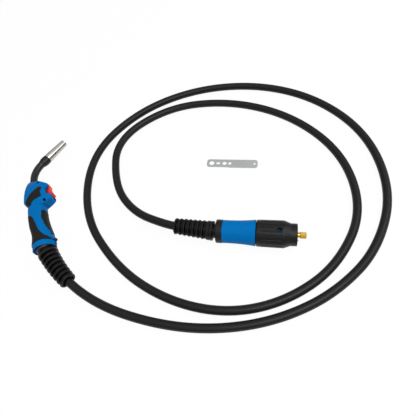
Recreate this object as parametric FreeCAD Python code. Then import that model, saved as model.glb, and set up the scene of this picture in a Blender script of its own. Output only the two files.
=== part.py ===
import FreeCAD, Part
import math
import os

# Hand-held arc welding torch with its lead, machine plug and tip spanner, in millimetres.
# +Z is up from the floor. The origin is on the floor, under the middle of torch and spanner.

# Heights that rest on the floor: ring of the ball joint, and hand nut of the plug
TINY = 0.001
RING_RADIUS = 20.6
PLUG_NUT_RADIUS = 23.1

# Cord: outer diameter, and the corners of its route from the torch's ball joint to the plug
CABLE_DIAMETER = 15.0
BORE_PLAY = 0.3
ROUTE = [
    (-162, -86, RING_RADIUS), (-130, -134, 16.0), (-52, -194, 8.6), (53, -229, 7.5), (149, -239, 7.5),
    (242, -226, 7.5), (329, -188, 7.5), (406, -119, 7.5), (452, -8, 7.5), (436, 125, 7.5),
    (355, 231, 7.5), (236, 288, 7.5), (99, 291, 7.5), (-26, 238, 7.5), (-113, 131, 7.5),
    (-107, -17, 7.5), (-29, -128, 7.5), (62, -190, 7.5), (159, -215, 7.5), (253, -199, 7.5),
    (339, -144, 7.5), (397, -44, 7.5), (383, 83, 7.5), (300, 187, 7.5), (180, 244, 7.5),
    (46, 245, 7.5), (-65, 165, 7.5), (-54, 46, 7.5), (-10, -19, 8.0), (59.4, -59.3, PLUG_NUT_RADIUS),
    (98.5, -67.6, PLUG_NUT_RADIUS),
]
ARC_SHARE = 0.45

# Ball joint between the handle and the lead
BALL_RADIUS = 17.2
RUNNING_PLAY = 0.05
RING_FRONT = 3.0
RING_REAR = 7.5
RING_SEAT_END = 5.5
RING_MOUTH_RADIUS = 19.2
RING_SPIGOT = 4.5
SPIGOT_WALL = 1.3
SOCKET_BLOCK = 16.0
BALL_CUP_FLARE = 3.0
HANDLE_HEADING = -70.0
BALL_FRONT_CUT = 12.0
BALL_TAIL_START = 8.8
BALL_TAIL_RADIUS = 11.0
BALL_TAIL_LENGTH = 22.0
CABLE_SHOULDER_WALL = 3.0
CONDUCTOR_RADIUS = 4.5
RING_STUD_RADIUS = 2.2
RING_STUD_HEIGHT = 1.4
RING_STUD_EDGE = 0.6
RING_SEAT_EDGE = 0.5
RING_REAR_DROP = 0.3
RING_REAR_EDGE = 1.0
RING_FRONT_EDGE = 0.6

# Ribbed boots at the torch and at the plug
BOOT_GROOVES = 7
BOOT_RIB_SHARE = 0.4
TORCH_BOOT_START = 12.6
TORCH_BOOT_LENGTH = 72.6
TORCH_BOOT_FRONT_RADIUS = 17.8
TORCH_BOOT_END_RADIUS = 15.0
TORCH_BOOT_EDGE = 1.2
TORCH_BOOT_FIRST_GROOVE = 11.7
TORCH_BOOT_PITCH = 9.15
TORCH_BOOT_GROOVE_DEPTH = 4.0
TORCH_BOOT_MOUTH_RADIUS = 10.8
TORCH_BOOT_MOUTH_DEPTH = 4.0
PLUG_BOOT_LENGTH = 69.6
PLUG_BOOT_TAIL_RADIUS = 14.0
PLUG_BOOT_FRONT_RADIUS = 17.0
PLUG_BOOT_CONE = 3.0
PLUG_BOOT_LIP = 9.3
PLUG_BOOT_FIRST_GROOVE = 7.6
PLUG_BOOT_PITCH = 8.1
PLUG_BOOT_GROOVE_DEPTH = 4.0
PLUG_BOOT_LINE_PLACE = 65.0
PLUG_BOOT_LINE_WIDTH = 1.4
PLUG_BOOT_EDGE = 1.2
PLUG_BOOT_LINE_DEPTH = 0.9
PLUG_BOOT_NECK_RADIUS = 12.4
PLUG_BOOT_FLANGE = 3.6
CABLE_GRIP = 26.0

# Handle: plan outline of the head (x, y, corner radius), about the ball's centre
LEAST_CORNER = 0.3
HEAD_OUTLINE = [
    (-56.5, 85.5, 9), (-44, 79, 8), (-19, 84, 10), (-4.6, 99, 8), (-3.8, 110.2, 5.3),
    (-15.5, 106.8, 4), (-20.3, 118, 8), (-16.5, 131, 6), (-41, 141.5, 25), (-67.5, 143.5, 7),
]
HEAD_HALF_THICKNESS = 17.2
HEAD_CROWN_RADIUS = 80.0
HEAD_CROWN_CENTRE = (-36, 106)
HEAD_EDGE_RADIUS = 4.8
# Grip sections: x, y, heading, half width, half thickness, corner radius
GRIP_SECTIONS = [
    (-34, 92, -76, 15.0, 14.0, 11.0), (-30, 73, -72, 16.8, 15.0, 12.0),
    (-25.1, 58, -69, 16.7, 15.3, 12.0), (-17.8, 41, -64, 17.1, 15.8, 12.5),
    (-9.5, 25.2, -62, 17.5, 17.0, 14.0), (-4.9, 14.5, -64, 19.0, 18.4, 16.0),
]
GRIP_END_HALF_WIDTH = 20.4
GRIP_END_HALF_THICKNESS = 20.2
GRIP_END_CORNER = 18.9
SHELL_WALL = 2.6
PAD_DEPTH = 1.2
PAD_PROUD = 0.4
THUMB_PAD = [
    (-52, 86, 5), (-40, 74, 4), (-38, 89, 8), (-22, 100, 2), (-27, 110, 4),
    (-26, 119, 2.5), (-32, 122, 3), (-46, 103, 20),
]
FINGER_GRIP = [(-16.5, 72, 3), (-12, 54, 10), (1, 35, 25), (18.5, 17, 1), (34, 14, 1), (14, 72, 1)]
PALM_GRIP = [
    (-62, 62, 1), (-40, -14, 1), (34, -14, 1), (34, 3, 1), (19, 9.6, 6), (4, 15.2, 10),
    (-9, 25, 15), (-22, 44, 18), (-29, 54, 6), (-38, 58, 4),
]
EDGE_SLOTS = [108.0, 128.0]
EDGE_SLOT_LENGTH = 4.5
EDGE_SLOT_LOW = 6.5
EDGE_SLOT_HIGH = 9.5
EDGE_SLOT_REACH = 5.0
EDGE_SLOT_DEPTH = 2.0
LATCH_PLACE = (10.5, 21.3, 6.4)
LATCH_RADIUS = 1.8
LATCH_DEPTH = 3.5
LUG_PLACE = (16.6, 12.7)
LUG_RADIUS = 2.9

# Screws that join the two halves of the handle
SCREW_PLACES = [(-15.6, 92.4), (-38.5, 134.5)]
SCREW_BOSS_RADIUS = 4.3
SCREW_SHANK_RADIUS = 1.5
SCREW_HEAD_RADIUS = 2.6
SCREW_HEAD_LENGTH = 2.2
SCREW_HEAD_SEAT = 8.0
SCREW_DEPTH = 11.0
SCREW_PLAY = 0.15
SCREW_SOCKET_WIDTH = 2.5
SCREW_SOCKET_DEPTH = 1.2

# Trigger and switch, about the ball's centre
TRIGGER_PIVOT = (-27, 126.3)
TRIGGER_OUTLINE = [
    (-27, 103.2, 1), (-12.5, 104, 1.5), (-3.6, 109.4, 1.5), (-12, 118.6, 8), (-16.2, 125.4, 8),
    (-17.6, 132, 1.8), (-25, 130.6, 2), (-31, 129.5, 2.5), (-31, 122.4, 2.5), (-27, 120, 2),
]
TRIGGER_HALF_WIDTH = 6.6
TRIGGER_EDGE = 0.9
TRIGGER_SIDE_PLAY = 0.5
TRIGGER_WINDOW = [
    (-33, 100.8, 2), (6, 100.8, 2), (6, 134, 2), (-21.5, 134, 1.2), (-23.5, 132, 1), (-33, 132, 1.5),
]
TRIGGER_PIN_RADIUS = 1.5
TRIGGER_PIN_HALF_LENGTH = 12.0
TRIGGER_PIN_BOSS = 4.0
SWITCH_LEVER_ARM = 18.0
SWITCH_GAP = 0.08
SWITCH_LENGTH = 12.8
SWITCH_DEPTH = 6.5
SWITCH_HALF_WIDTH = 2.9
PLUNGER_RADIUS = 1.5
PLUNGER_REACH = 2.3
PLUNGER_INSIDE = 2.0
PLUNGER_STROKE = 1.7
TAB_LENGTH = 4.0
TAB_WIDTH = 2.0
TAB_THICKNESS = 0.5
TAB_SPACING = 4.6
SWITCH_EDGE = 0.4
SWITCH_POST_RADIUS = 1.0
SWITCH_POST_SPACING = 6.5
SWITCH_SEAT_GAP = 0.3
SWITCH_BLOCK_RADIUS = 2.4

# Swan neck, about the ball's centre
NECK_FOOT = (-56.2, 147)
NECK_HEADING = 101.0
NECK_INSIDE = 24.0
NECK_LEAD = 4.0
NECK_BEND_RADIUS = 48.5
NECK_TURN = 46.0
NECK_TAIL = 28.5
NECK_TUBE_RADIUS = 4.5
NECK_TUBE_BORE = 2.4
NECK_JACKET_RADIUS = 7.0
NECK_PLAY = 0.1
COLLAR_RADIUS = 9.0
COLLAR_LENGTH = 16.5
COLLAR_SPIGOT_RADIUS = 6.9
COLLAR_SPIGOT_LENGTH = 9.0
COLLAR_EDGE = 0.8
COLLAR_REAR_RADIUS = 7.4
COLLAR_CONE = 7.0
HOLDER_LENGTH = 14.0
HOLDER_RADIUS = 5.4
HOLDER_THREAD_DEPTH = 8.0
HOLDER_PORTS = 4
HOLDER_PORT_RADIUS = 1.0
TIP_RADIUS = 3.0
TIP_SHANK_RADIUS = 2.4
TIP_LENGTH = 24.5
TIP_NOSE = 5.0
TIP_NOSE_RADIUS = 1.9
WIRE_BORE_RADIUS = 0.7
NOZZLE_LENGTH = 49.0
NOZZLE_BASE_RADIUS = 8.7
NOZZLE_EDGE = 0.5
NOZZLE_INNER_EDGE = 0.2
NOZZLE_SHOULDER_BLEND = 20.0
NOZZLE_BORE_BLEND = 4.0
NOZZLE_MOUTH_BLEND = 2.0
NOZZLE_MOUTH_LENGTH = 4.0
NOZZLE_SLOT_RISE = 1.2
HOLDER_EDGE = 1.0
HOLDER_PORT_ANGLE = 45.0
TIP_SHANK_GAP = 0.3
NOZZLE_STRAIGHT = 11.0
NOZZLE_TIP_RADIUS = 6.9
NOZZLE_TIP_BORE = 5.4
NOZZLE_SLOT_PLACE = 20.0
NOZZLE_SLOT_RADIUS = 1.2
FITTING_LENGTH = 20.0
FITTING_FLATS = 12.0
FITTING_OVERLAP = 8.0
HOSE_RADIUS = 5.0
HOSE_ROUTE = [(-38.8, 80.5), (-26, 56)]
HOSE_FITTING_GAP = 0.9
HOSE_BALL_GAP = 0.5

# Machine plug, along its axis from the tail of its boot
PLUG_HEADING = -7.0
PLUG_COLLAR_START = 74.7
PLUG_COLLAR_LENGTH = 11.2
PLUG_COLLAR_RADIUS = 20.1
PLUG_COLLAR_EDGE = 1.5
PLUG_COLLAR_WALL = 2.5
PLUG_COLLAR_SPIGOT = 8.0
PLUG_SLEEVE_LENGTH = 55.4
PLUG_SLEEVE_REAR_RADIUS = 19.6
PLUG_SLEEVE_WAIST_RADIUS = 19.9
PLUG_SLEEVE_FRONT_RADIUS = 22.2
PLUG_SLEEVE_BORE = 16.5
PLUG_SLEEVE_SPIGOT_RADIUS = 18.2
PLUG_SLEEVE_SPIGOT_LENGTH = 46.0
PLUG_SLEEVE_LIP = 4.0
PLUG_NUT_GAP = 1.2
PLUG_NUT_LENGTH = 66.5
PLUG_NUT_REAR_RADIUS = 22.3
PLUG_NUT_BAND_RADIUS = 22.7
PLUG_NUT_BAND_BLEND = 2.0
PLUG_NUT_EDGE = 1.0
PLUG_NUT_SHOULDER_BLEND = 5.0
PLUG_NUT_SHOULDER_FOOT = 4.0
PLUG_NUT_FLUTE_START_GAP = 1.0
PLUG_NUT_FLUTE_END_GAP = 3.0
PLUG_NUT_BAND = 7.0
PLUG_NUT_SHOULDER_START = 45.0
PLUG_NUT_SHOULDER_END = 56.0
PLUG_NUT_MOUTH_RADIUS = 18.8
PLUG_NUT_BORE = 18.6
PLUG_NUT_LIP_LENGTH = 4.0
PLUG_NUT_LIP_PLACE = 48.5
PLUG_NUT_THREAD_RADIUS = 16.0
PLUG_NUT_FLUTES = 20
PLUG_NUT_FLUTE_RADIUS = 1.7
PLUG_NUT_FLUTE_DEPTH = 0.8
PLUG_NUT_HOLE_PLACE = 37.3
PLUG_NUT_HOLE_RADIUS = 4.1
PLUG_NUT_HOLE_ANGLE = 99.0
CORE_REAR = 66.0
CORE_REAR_RADIUS = 11.0
CORE_REAR_LENGTH = 44.0
CORE_RADIUS = 9.5
CORE_LIP_GAP = 0.4
CORE_FLANGE_RADIUS = 14.4
CORE_FLANGE_LENGTH = 2.2
CORE_BORE = 2.6
FERRULE_RADIUS = 7.4
FERRULE_GAP = 1.0
FACE_RADIUS = 11.5
FACE_LENGTH = 8.5
NOSE_RADIUS = 4.5
NOSE_LENGTH = 20.0
NOSE_RING_PLACE = 10.6
NOSE_RING_RADIUS = 1.0
LINER_NUT_FLATS = 10.6
LINER_NUT_LENGTH = 10.1
LINER_NUT_PLACE = 15.8
LINER_RADIUS = 2.4
LINER_BORE = 1.2
LINER_LENGTH = 25.1
LINER_NUT_FACE_DROP = 0.3
LINER_NUT_CHAMFER = 1.2
PIN_RADIUS = 1.5
PIN_CIRCLE = 9.0
PIN_ANGLES = (208.0, 284.0)
PIN_LENGTH = 10.0
PIN_PLACE = 4.0
PIN_BARREL_WALL = 0.6
PIN_BARREL_START = 0.5
PIN_BARREL_LENGTH = 6.0

# Tip spanner: flat plate beside the torch
SPANNER_MIDDLE = (176.3, 81.0)
SPANNER_HEADING = -6.9
SPANNER_LENGTH = 99.0
SPANNER_WIDTH = 17.6
SPANNER_TAIL_WIDTH = 19.2
SPANNER_STEP_LENGTH = 4.0
SPANNER_STEP_PLACE = 40.0
SPANNER_THICKNESS = 2.0
SPANNER_CORNER = 5.5
SPANNER_ROUND_HOLE = (9.4, 5.2)
SPANNER_FLAT_HOLE = (22.2, 3.9)
SPANNER_FLAT_WIDTH = 5.6
SPANNER_HEX_HOLE = (34.6, 8.0)
SPANNER_SQUARE_HOLE = (45.0, 6.0)
SPANNER_HANG_HOLE = (93.0, 2.6)

UP = FreeCAD.Vector(0, 0, 1)
ALONG = FreeCAD.Vector(1, 0, 0)
ORIGIN = FreeCAD.Vector(0, 0, 0)
TALL = 60.0
BALL = FreeCAD.Vector(*ROUTE[0])
MID_HEIGHT = BALL.z
CABLE_RADIUS = CABLE_DIAMETER / 2


def vector(x, y, z=0.0):
    return FreeCAD.Vector(x, y, z)


def direction(degrees):
    angle = math.radians(degrees)
    return vector(math.cos(angle), math.sin(angle))


def rounded_wire(corners):
    """Closed wire through corners (x, y, radius), each rounded to its radius."""
    edges = []
    ends = []
    for index, (x, y, radius) in enumerate(corners):
        point = vector(x, y)
        back = vector(*corners[index - 1][:2]) - point
        ahead = vector(*corners[(index + 1) % len(corners)][:2]) - point
        back.normalize()
        ahead.normalize()
        half = back.getAngle(ahead) / 2
        if radius == 0 or abs(half - math.pi / 2) < 1e-6:
            ends.append((point, point))
            continue
        reach = radius / math.tan(half)
        inward = back + ahead
        inward.normalize()
        middle = point + inward * (radius / math.sin(half) - radius)
        start, end = point + back * reach, point + ahead * reach
        edges.append((index, Part.Arc(start, middle, end).toShape()))
        ends.append((start, end))
    ordered = []
    arcs = dict(edges)
    for index in range(len(corners)):
        if index in arcs:
            ordered.append(arcs[index])
        line_start = ends[index][1]
        line_end = ends[(index + 1) % len(corners)][0]
        if line_start.distanceToPoint(line_end) > 1e-6:
            ordered.append(Part.LineSegment(line_start, line_end).toShape())
    return Part.Wire(ordered)


def grown(corners, amount):
    """An anticlockwise outline moved outwards by an amount, its radii following."""
    if amount == 0:
        return corners
    count = len(corners)
    result = []
    for index in range(count):
        before, here, after = corners[index - 1], corners[index], corners[(index + 1) % count]
        first = vector(here[0] - before[0], here[1] - before[1])
        second = vector(after[0] - here[0], after[1] - here[1])
        first.normalize()
        second.normalize()
        cross = first.x * second.y - first.y * second.x
        dot = first.dot(second)
        shift = (vector(first.y, -first.x) + vector(second.y, -second.x)) * (amount / (1 + dot))
        side = 1 if cross > 0 else -1
        result.append((here[0] + shift.x, here[1] + shift.y, max(here[2] + side * amount, LEAST_CORNER)))
    return result


def prism(corners, low, high):
    face = Part.Face(rounded_wire(corners))
    face.translate(vector(0, 0, low))
    return face.extrude(vector(0, 0, high - low))


def cylinder(radius, start, end):
    """Round bar between two points."""
    axis = end - start
    return Part.makeCylinder(radius, axis.Length, start, axis)


def turned(profile):
    """Solid of revolution about X from an outline (x, radius, corner radius)."""
    face = Part.Face(rounded_wire(profile))
    return face.revolve(ORIGIN, ALONG, 360)


def tube(start, end, outer, inner, edge=0):
    """Round tube along X, its outer edges rounded."""
    return turned([(start, inner, 0), (end, inner, 0), (end, outer, edge), (start, outer, edge)])


def hexagon(flats):
    radius = flats / math.sqrt(3)
    corners = [direction(60 * index) * radius for index in range(6)]
    return [(corner.x, corner.y, 0) for corner in corners]


def along_x(shape):
    """Turn a shape built upwards along Z so that it points along X."""
    shape.rotate(ORIGIN, vector(0, 1, 0), 90)
    return shape


def placement(origin, heading, pitch=0.0):
    """Frame whose X points along a heading in plan, raised by a pitch."""
    turn = FreeCAD.Rotation(UP, heading).multiply(FreeCAD.Rotation(vector(0, 1, 0), -pitch))
    return FreeCAD.Placement(origin, turn)


def placed(shape, frame):
    moved = shape.copy()
    moved.transformShape(frame.toMatrix())
    return moved


def path_edges(points):
    """Straight runs joined by tangent arcs, with the arcs' radii."""
    edges, radii = [], []
    last = points[0]
    for before, here, after in zip(points, points[1:], points[2:]):
        back, ahead = here - before, after - here
        reach = ARC_SHARE * min(back.Length, ahead.Length)
        half = back.getAngle(ahead) / 2
        radius = reach / math.tan(half)
        back.normalize()
        ahead.normalize()
        inward = ahead - back
        inward.normalize()
        start, end = here - back * reach, here + ahead * reach
        middle = here + inward * (radius / math.cos(half) - radius)
        edges.append(Part.LineSegment(last, start).toShape())
        edges.append(Part.Arc(start, middle, end).toShape())
        radii.append(radius)
        last = end
    edges.append(Part.LineSegment(last, points[-1]).toShape())
    return edges, radii


def disc_frame(point, tangent):
    """Frame square to a path, with a steady X axis that points up."""
    side = UP.cross(tangent)
    side.normalize()
    up = tangent.cross(side)
    return FreeCAD.Placement(point, FreeCAD.Rotation(up, side * -1, tangent, "ZXY"))


def circle_wire(frame, radius):
    wire = Part.Wire(Part.makeCircle(radius))
    wire.Placement = frame
    return wire


def path_frame(edges, distance):
    """Frame on a path at a distance from its start."""
    for edge in edges:
        if distance <= edge.Length:
            break
        distance -= edge.Length
    at = edge.getParameterByLength(min(distance, edge.Length))
    return disc_frame(edge.valueAt(at), edge.tangentAt(at))


def pipe(edges, radius):
    start = edges[0]
    frame = disc_frame(start.valueAt(start.FirstParameter), start.tangentAt(start.FirstParameter))
    return Part.Wire(edges).makePipeShell([circle_wire(frame, radius)], True, False)


def part_of_path(edges, start, end):
    """The stretch of a path between two distances."""
    result = []
    for edge in edges:
        length = edge.Length
        low, high = max(start, 0), min(end, length)
        if high - low > 1e-6:
            first = edge.getParameterByLength(low)
            last = edge.getParameterByLength(high)
            result.append(edge.Curve.toShape(first, last))
        start -= length
        end -= length
    return result


def ribbed(edges, stations):
    """Solid through round sections (distance, radius) square to a path."""
    wires = [circle_wire(path_frame(edges, distance), radius) for distance, radius in stations]
    return Part.makeLoft(wires, True, True)


def rib_stations(first, pitch, count, depth, radius_at):
    """Sections down into each groove and up again, four to a groove."""
    half = pitch * (1 - BOOT_RIB_SHARE) / 2
    slope = half / 3
    stations = []
    for index in range(count):
        middle = first + index * pitch
        for offset, drop in ((-half, 0), (-half + slope, depth), (half - slope, depth), (half, 0)):
            stations.append((middle + offset, radius_at(middle + offset) - drop))
    return stations


ROUTE_POINTS = [vector(*point) for point in ROUTE]
ROUTE_EDGES, ROUTE_RADII = path_edges(ROUTE_POINTS)
ROUTE_LENGTH = sum(edge.Length for edge in ROUTE_EDGES)
FIRST_RUN = ROUTE_POINTS[1] - ROUTE_POINTS[0]
LAST_RUN = ROUTE_POINTS[-1] - ROUTE_POINTS[-2]
LAST_RUN.normalize()
BALL_FRAME = placement(
    BALL,
    math.degrees(math.atan2(FIRST_RUN.y, FIRST_RUN.x)),
    math.degrees(math.asin(FIRST_RUN.z / FIRST_RUN.Length)),
)
PLUG_BOOT_TAIL = ROUTE_POINTS[-1] - LAST_RUN * CABLE_GRIP
PLUG_BOOT_FRAME = placement(PLUG_BOOT_TAIL, math.degrees(math.atan2(LAST_RUN.y, LAST_RUN.x)))
PLUG_BOOT_END = PLUG_BOOT_TAIL + LAST_RUN * PLUG_BOOT_LENGTH
PLUG_FRAME = placement(PLUG_BOOT_END - direction(PLUG_HEADING) * PLUG_BOOT_LENGTH, PLUG_HEADING)
HANDLE_FRAME = FreeCAD.Placement(BALL, FreeCAD.Rotation())
RING_FRAME = placement(BALL, HANDLE_HEADING)


# Lead side of the ball joint

def torch_cable():
    cable = pipe(ROUTE_EDGES, CABLE_RADIUS)
    expected = math.pi * CABLE_RADIUS ** 2 * ROUTE_LENGTH
    print("cable length %.0f mm, smallest radius %.0f mm" % (ROUTE_LENGTH, min(ROUTE_RADII)))
    print("cable radii", [round(radius) for radius in ROUTE_RADII])
    print("cable volume %.0f mm3, section times length %.0f mm3" % (cable.Volume, expected))
    return cable


def ball_sleeve():
    """Ball on the end of the lead; the cable's end butts on a shoulder inside it."""
    ball = Part.makeSphere(BALL_RADIUS)
    keep = tube(-BALL_FRONT_CUT, BALL_TAIL_START, BALL_RADIUS + 1, 0)
    tail_end = BALL_TAIL_START + BALL_TAIL_LENGTH
    body = ball.common(keep).fuse(tube(0, tail_end, BALL_TAIL_RADIUS, 0))
    body = body.cut(tube(0, tail_end + 1, CABLE_RADIUS + BORE_PLAY, 0))
    body = body.cut(tube(-CABLE_SHOULDER_WALL - 1, 1, CONDUCTOR_RADIUS, 0))
    cup = turned([
        (-BALL_FRONT_CUT - 1, 0, 0), (-CABLE_SHOULDER_WALL, 0, 0),
        (-CABLE_SHOULDER_WALL, CABLE_RADIUS, 1), (-BALL_FRONT_CUT - 1, CABLE_RADIUS + BALL_CUP_FLARE, 0),
    ])
    return placed(body.cut(cup).removeSplitter(), BALL_FRAME)


def torch_boot():
    start, end = TORCH_BOOT_START, TORCH_BOOT_START + TORCH_BOOT_LENGTH

    def radius_at(distance):
        share = (distance - start) / TORCH_BOOT_LENGTH
        return TORCH_BOOT_FRONT_RADIUS + share * (TORCH_BOOT_END_RADIUS - TORCH_BOOT_FRONT_RADIUS)

    first = start + TORCH_BOOT_FIRST_GROOVE
    stations = [(start, radius_at(start) - TORCH_BOOT_EDGE), (start + 2 * TORCH_BOOT_EDGE, radius_at(start))]
    stations += rib_stations(first, TORCH_BOOT_PITCH, BOOT_GROOVES, TORCH_BOOT_GROOVE_DEPTH, radius_at)
    tail_radius = radius_at(end)
    stations += [
        (end - 2 * TORCH_BOOT_EDGE, tail_radius),
        (end - TORCH_BOOT_EDGE / 2, tail_radius - TORCH_BOOT_EDGE / 3),
        (end, tail_radius - TORCH_BOOT_EDGE),
    ]
    body = ribbed(ROUTE_EDGES, stations)
    tail = BALL_TAIL_START + BALL_TAIL_LENGTH
    seat = pipe(part_of_path(ROUTE_EDGES, 0, tail + BORE_PLAY), BALL_TAIL_RADIUS + BORE_PLAY)
    bore = pipe(part_of_path(ROUTE_EDGES, 0, end + 5), CABLE_RADIUS + BORE_PLAY)
    mouth = pipe(part_of_path(ROUTE_EDGES, end - TORCH_BOOT_MOUTH_DEPTH, end + 5), TORCH_BOOT_MOUTH_RADIUS)
    return body.cut(seat).cut(bore).cut(mouth)


# Handle

def grip_section(x, y, heading, half_width, half_thickness, corner):
    wire = rounded_wire([
        (-half_width, -half_thickness, corner), (half_width, -half_thickness, corner),
        (half_width, half_thickness, corner), (-half_width, half_thickness, corner),
    ])
    ahead = direction(heading)
    side = direction(heading + 90)
    wire.Placement = FreeCAD.Placement(vector(x, y), FreeCAD.Rotation(side, UP, ahead, "ZXY"))
    return wire


def grip_body(amount):
    """Grip lofted through its sections, grown outwards by an amount."""
    end = direction(HANDLE_HEADING) * -RING_FRONT
    last = (end.x, end.y, HANDLE_HEADING, GRIP_END_HALF_WIDTH, GRIP_END_HALF_THICKNESS, GRIP_END_CORNER)
    wires = []
    for x, y, heading, half_width, half_thickness, corner in GRIP_SECTIONS + [last]:
        grown_sizes = half_width + amount, half_thickness + amount, corner + amount
        wires.append(grip_section(x, y, heading, *grown_sizes))
    return Part.makeLoft(wires, True, False)


def head_body(amount):
    """Head cut from its plan outline under a crowned top and bottom, edges rounded."""
    block = prism(grown(HEAD_OUTLINE, amount), -TALL, TALL)
    depth = HEAD_CROWN_RADIUS - HEAD_HALF_THICKNESS
    x, y = HEAD_CROWN_CENTRE
    for side in (-1, 1):
        block = block.common(Part.makeSphere(HEAD_CROWN_RADIUS + amount, vector(x, y, side * depth)))
    rims = []
    for edge in block.Edges:
        middle = edge.valueAt((edge.FirstParameter + edge.LastParameter) / 2)
        low = min(vertex.Z for vertex in edge.Vertexes)
        high = max(vertex.Z for vertex in edge.Vertexes)
        if abs(middle.z) > 1 and low * high > 0:
            rims.append(edge)
    return block.makeFillet(HEAD_EDGE_RADIUS + amount, rims)


def handle_body(amount):
    return head_body(amount).fuse(grip_body(amount))


def behind(distance):
    """Space behind a plane square to the handle's axis, to cut away."""
    return placed(tube(distance, 2 * TALL, 2 * TALL, 0), placement(ORIGIN, HANDLE_HEADING))


def neck_path():
    """Middle line of the swan neck, from inside the head to its front end."""
    foot = vector(*NECK_FOOT)
    ahead = direction(NECK_HEADING)
    start = foot - ahead * NECK_INSIDE
    bend = foot + ahead * NECK_LEAD
    centre = bend + direction(NECK_HEADING - 90) * NECK_BEND_RADIUS
    middle = centre + direction(NECK_HEADING + 90 - NECK_TURN / 2) * NECK_BEND_RADIUS
    end = centre + direction(NECK_HEADING + 90 - NECK_TURN) * NECK_BEND_RADIUS
    front = end + direction(NECK_HEADING - NECK_TURN) * NECK_TAIL
    return [
        Part.LineSegment(start, bend).toShape(),
        Part.Arc(bend, middle, end).toShape(),
        Part.LineSegment(end, front).toShape(),
    ]


NECK = neck_path()
NECK_LENGTH = sum(edge.Length for edge in NECK)
NECK_ROOT = NECK[0].valueAt(NECK[0].FirstParameter)
NOZZLE_HEADING = NECK_HEADING - NECK_TURN
NOZZLE_SEAT = NECK_LENGTH - (NECK_TAIL - COLLAR_LENGTH)
NECK_END = NECK[2].valueAt(NECK[2].LastParameter)
NOZZLE_BASE = NECK_END - direction(NOZZLE_HEADING) * (NECK_TAIL - COLLAR_LENGTH)
FRONT_FRAME = placement(BALL + NOZZLE_BASE, NOZZLE_HEADING)


def screw_boss(x, y, side):
    return cylinder(SCREW_BOSS_RADIUS, vector(x, y), vector(x, y, side * TALL))


def half_space(side):
    low = 0 if side > 0 else -TALL
    return Part.makeBox(400, 400, TALL, vector(-250, -150, low))


def switch_middle():
    front = TRIGGER_PIVOT[0] - SWITCH_GAP - PLUNGER_REACH
    return vector(front - SWITCH_DEPTH / 2, TRIGGER_PIVOT[1] - SWITCH_LEVER_ARM)


def handle_shell(side, outer, inner, floor):
    """One half of the handle: walls, bosses, and the openings for what passes through."""
    bosses = [screw_boss(x, y, side) for x, y in SCREW_PLACES]
    pivot = vector(*TRIGGER_PIVOT)
    cheek = vector(0, 0, side * (TRIGGER_HALF_WIDTH + TRIGGER_SIDE_PLAY))
    bosses.append(cylinder(TRIGGER_PIN_BOSS, pivot + cheek, pivot + vector(0, 0, side * TALL)))
    middle = switch_middle()
    seat = vector(0, 0, side * (SWITCH_HALF_WIDTH + SWITCH_SEAT_GAP))
    for step in (-1, 1):
        spot = middle + vector(0, step * SWITCH_POST_SPACING / 2)
        bosses.append(cylinder(SWITCH_BLOCK_RADIUS, spot + seat, spot + vector(0, 0, side * TALL)))
        if side < 0:
            bosses.append(cylinder(SWITCH_POST_RADIUS, spot + vector(0, 0, 1), spot + seat))
    ribs = bosses[0].fuse(bosses[1:]).common(floor)
    spigot = placed(
        tube(-RING_FRONT - 2, -RING_FRONT + RING_SPIGOT, BALL_RADIUS + SPIGOT_WALL, 0),
        placement(ORIGIN, HANDLE_HEADING),
    )
    shell = outer.cut(inner).fuse([ribs, spigot, Part.makeSphere(LUG_RADIUS, vector(*LUG_PLACE))])
    cuts = [Part.makeSphere(BALL_RADIUS + RUNNING_PLAY)]
    ahead = direction(HANDLE_HEADING)
    cuts.append(cylinder(CABLE_RADIUS + 2, ahead * -30, ahead * 2))
    cuts.append(pipe(NECK, NECK_JACKET_RADIUS + NECK_PLAY))
    window = TRIGGER_HALF_WIDTH + TRIGGER_SIDE_PLAY
    cuts.append(prism(TRIGGER_WINDOW, -window, window))
    reach = vector(0, 0, side * (TRIGGER_PIN_HALF_LENGTH + SCREW_PLAY))
    cuts.append(cylinder(TRIGGER_PIN_RADIUS + SCREW_PLAY, pivot, pivot + reach))
    for x, y in SCREW_PLACES:
        spot = vector(x, y)
        if side > 0:
            cuts.append(cylinder(SCREW_SHANK_RADIUS + SCREW_PLAY, spot, spot + UP * TALL))
            seat = spot + UP * SCREW_HEAD_SEAT
            cuts.append(cylinder(SCREW_HEAD_RADIUS + SCREW_PLAY, seat, seat + UP * TALL))
        else:
            foot = spot - UP * (SCREW_DEPTH + SCREW_PLAY)
            cuts.append(cylinder(SCREW_SHANK_RADIUS + SCREW_PLAY, spot, foot))
    back = HEAD_OUTLINE[-1][0]
    low = EDGE_SLOT_LOW if side > 0 else -EDGE_SLOT_HIGH
    for y in EDGE_SLOTS:
        corner = vector(back - EDGE_SLOT_REACH, y - EDGE_SLOT_LENGTH / 2, low)
        depth = EDGE_SLOT_REACH + EDGE_SLOT_DEPTH + edge_slot_inset(y)
        cuts.append(Part.makeBox(depth, EDGE_SLOT_LENGTH, EDGE_SLOT_HIGH - EDGE_SLOT_LOW, corner))
    x, y, z = LATCH_PLACE
    outward = direction(HANDLE_HEADING + 90) + UP * (side * z / x)
    outward.normalize()
    latch = vector(x, y, side * z)
    cuts.append(cylinder(LATCH_RADIUS, latch - outward * LATCH_DEPTH, latch + outward * TALL))
    return shell.cut(cuts).common(half_space(side))


def edge_slot_inset(y):
    """How far the head's back edge lies inside its upper corner at a height y."""
    (x0, y0, _), (x1, y1, _) = HEAD_OUTLINE[-1], HEAD_OUTLINE[0]
    return (x1 - x0) * (y0 - y) / (y0 - y1)


def pad_pockets(side, floor):
    """Recesses in a shell for the soft pads, as solids to cut away."""
    low, high = (0, TALL) if side > 0 else (-TALL, 0)
    return [prism(outline, low, high).cut(floor) for outline in (THUMB_PAD, FINGER_GRIP, PALM_GRIP)]


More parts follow.
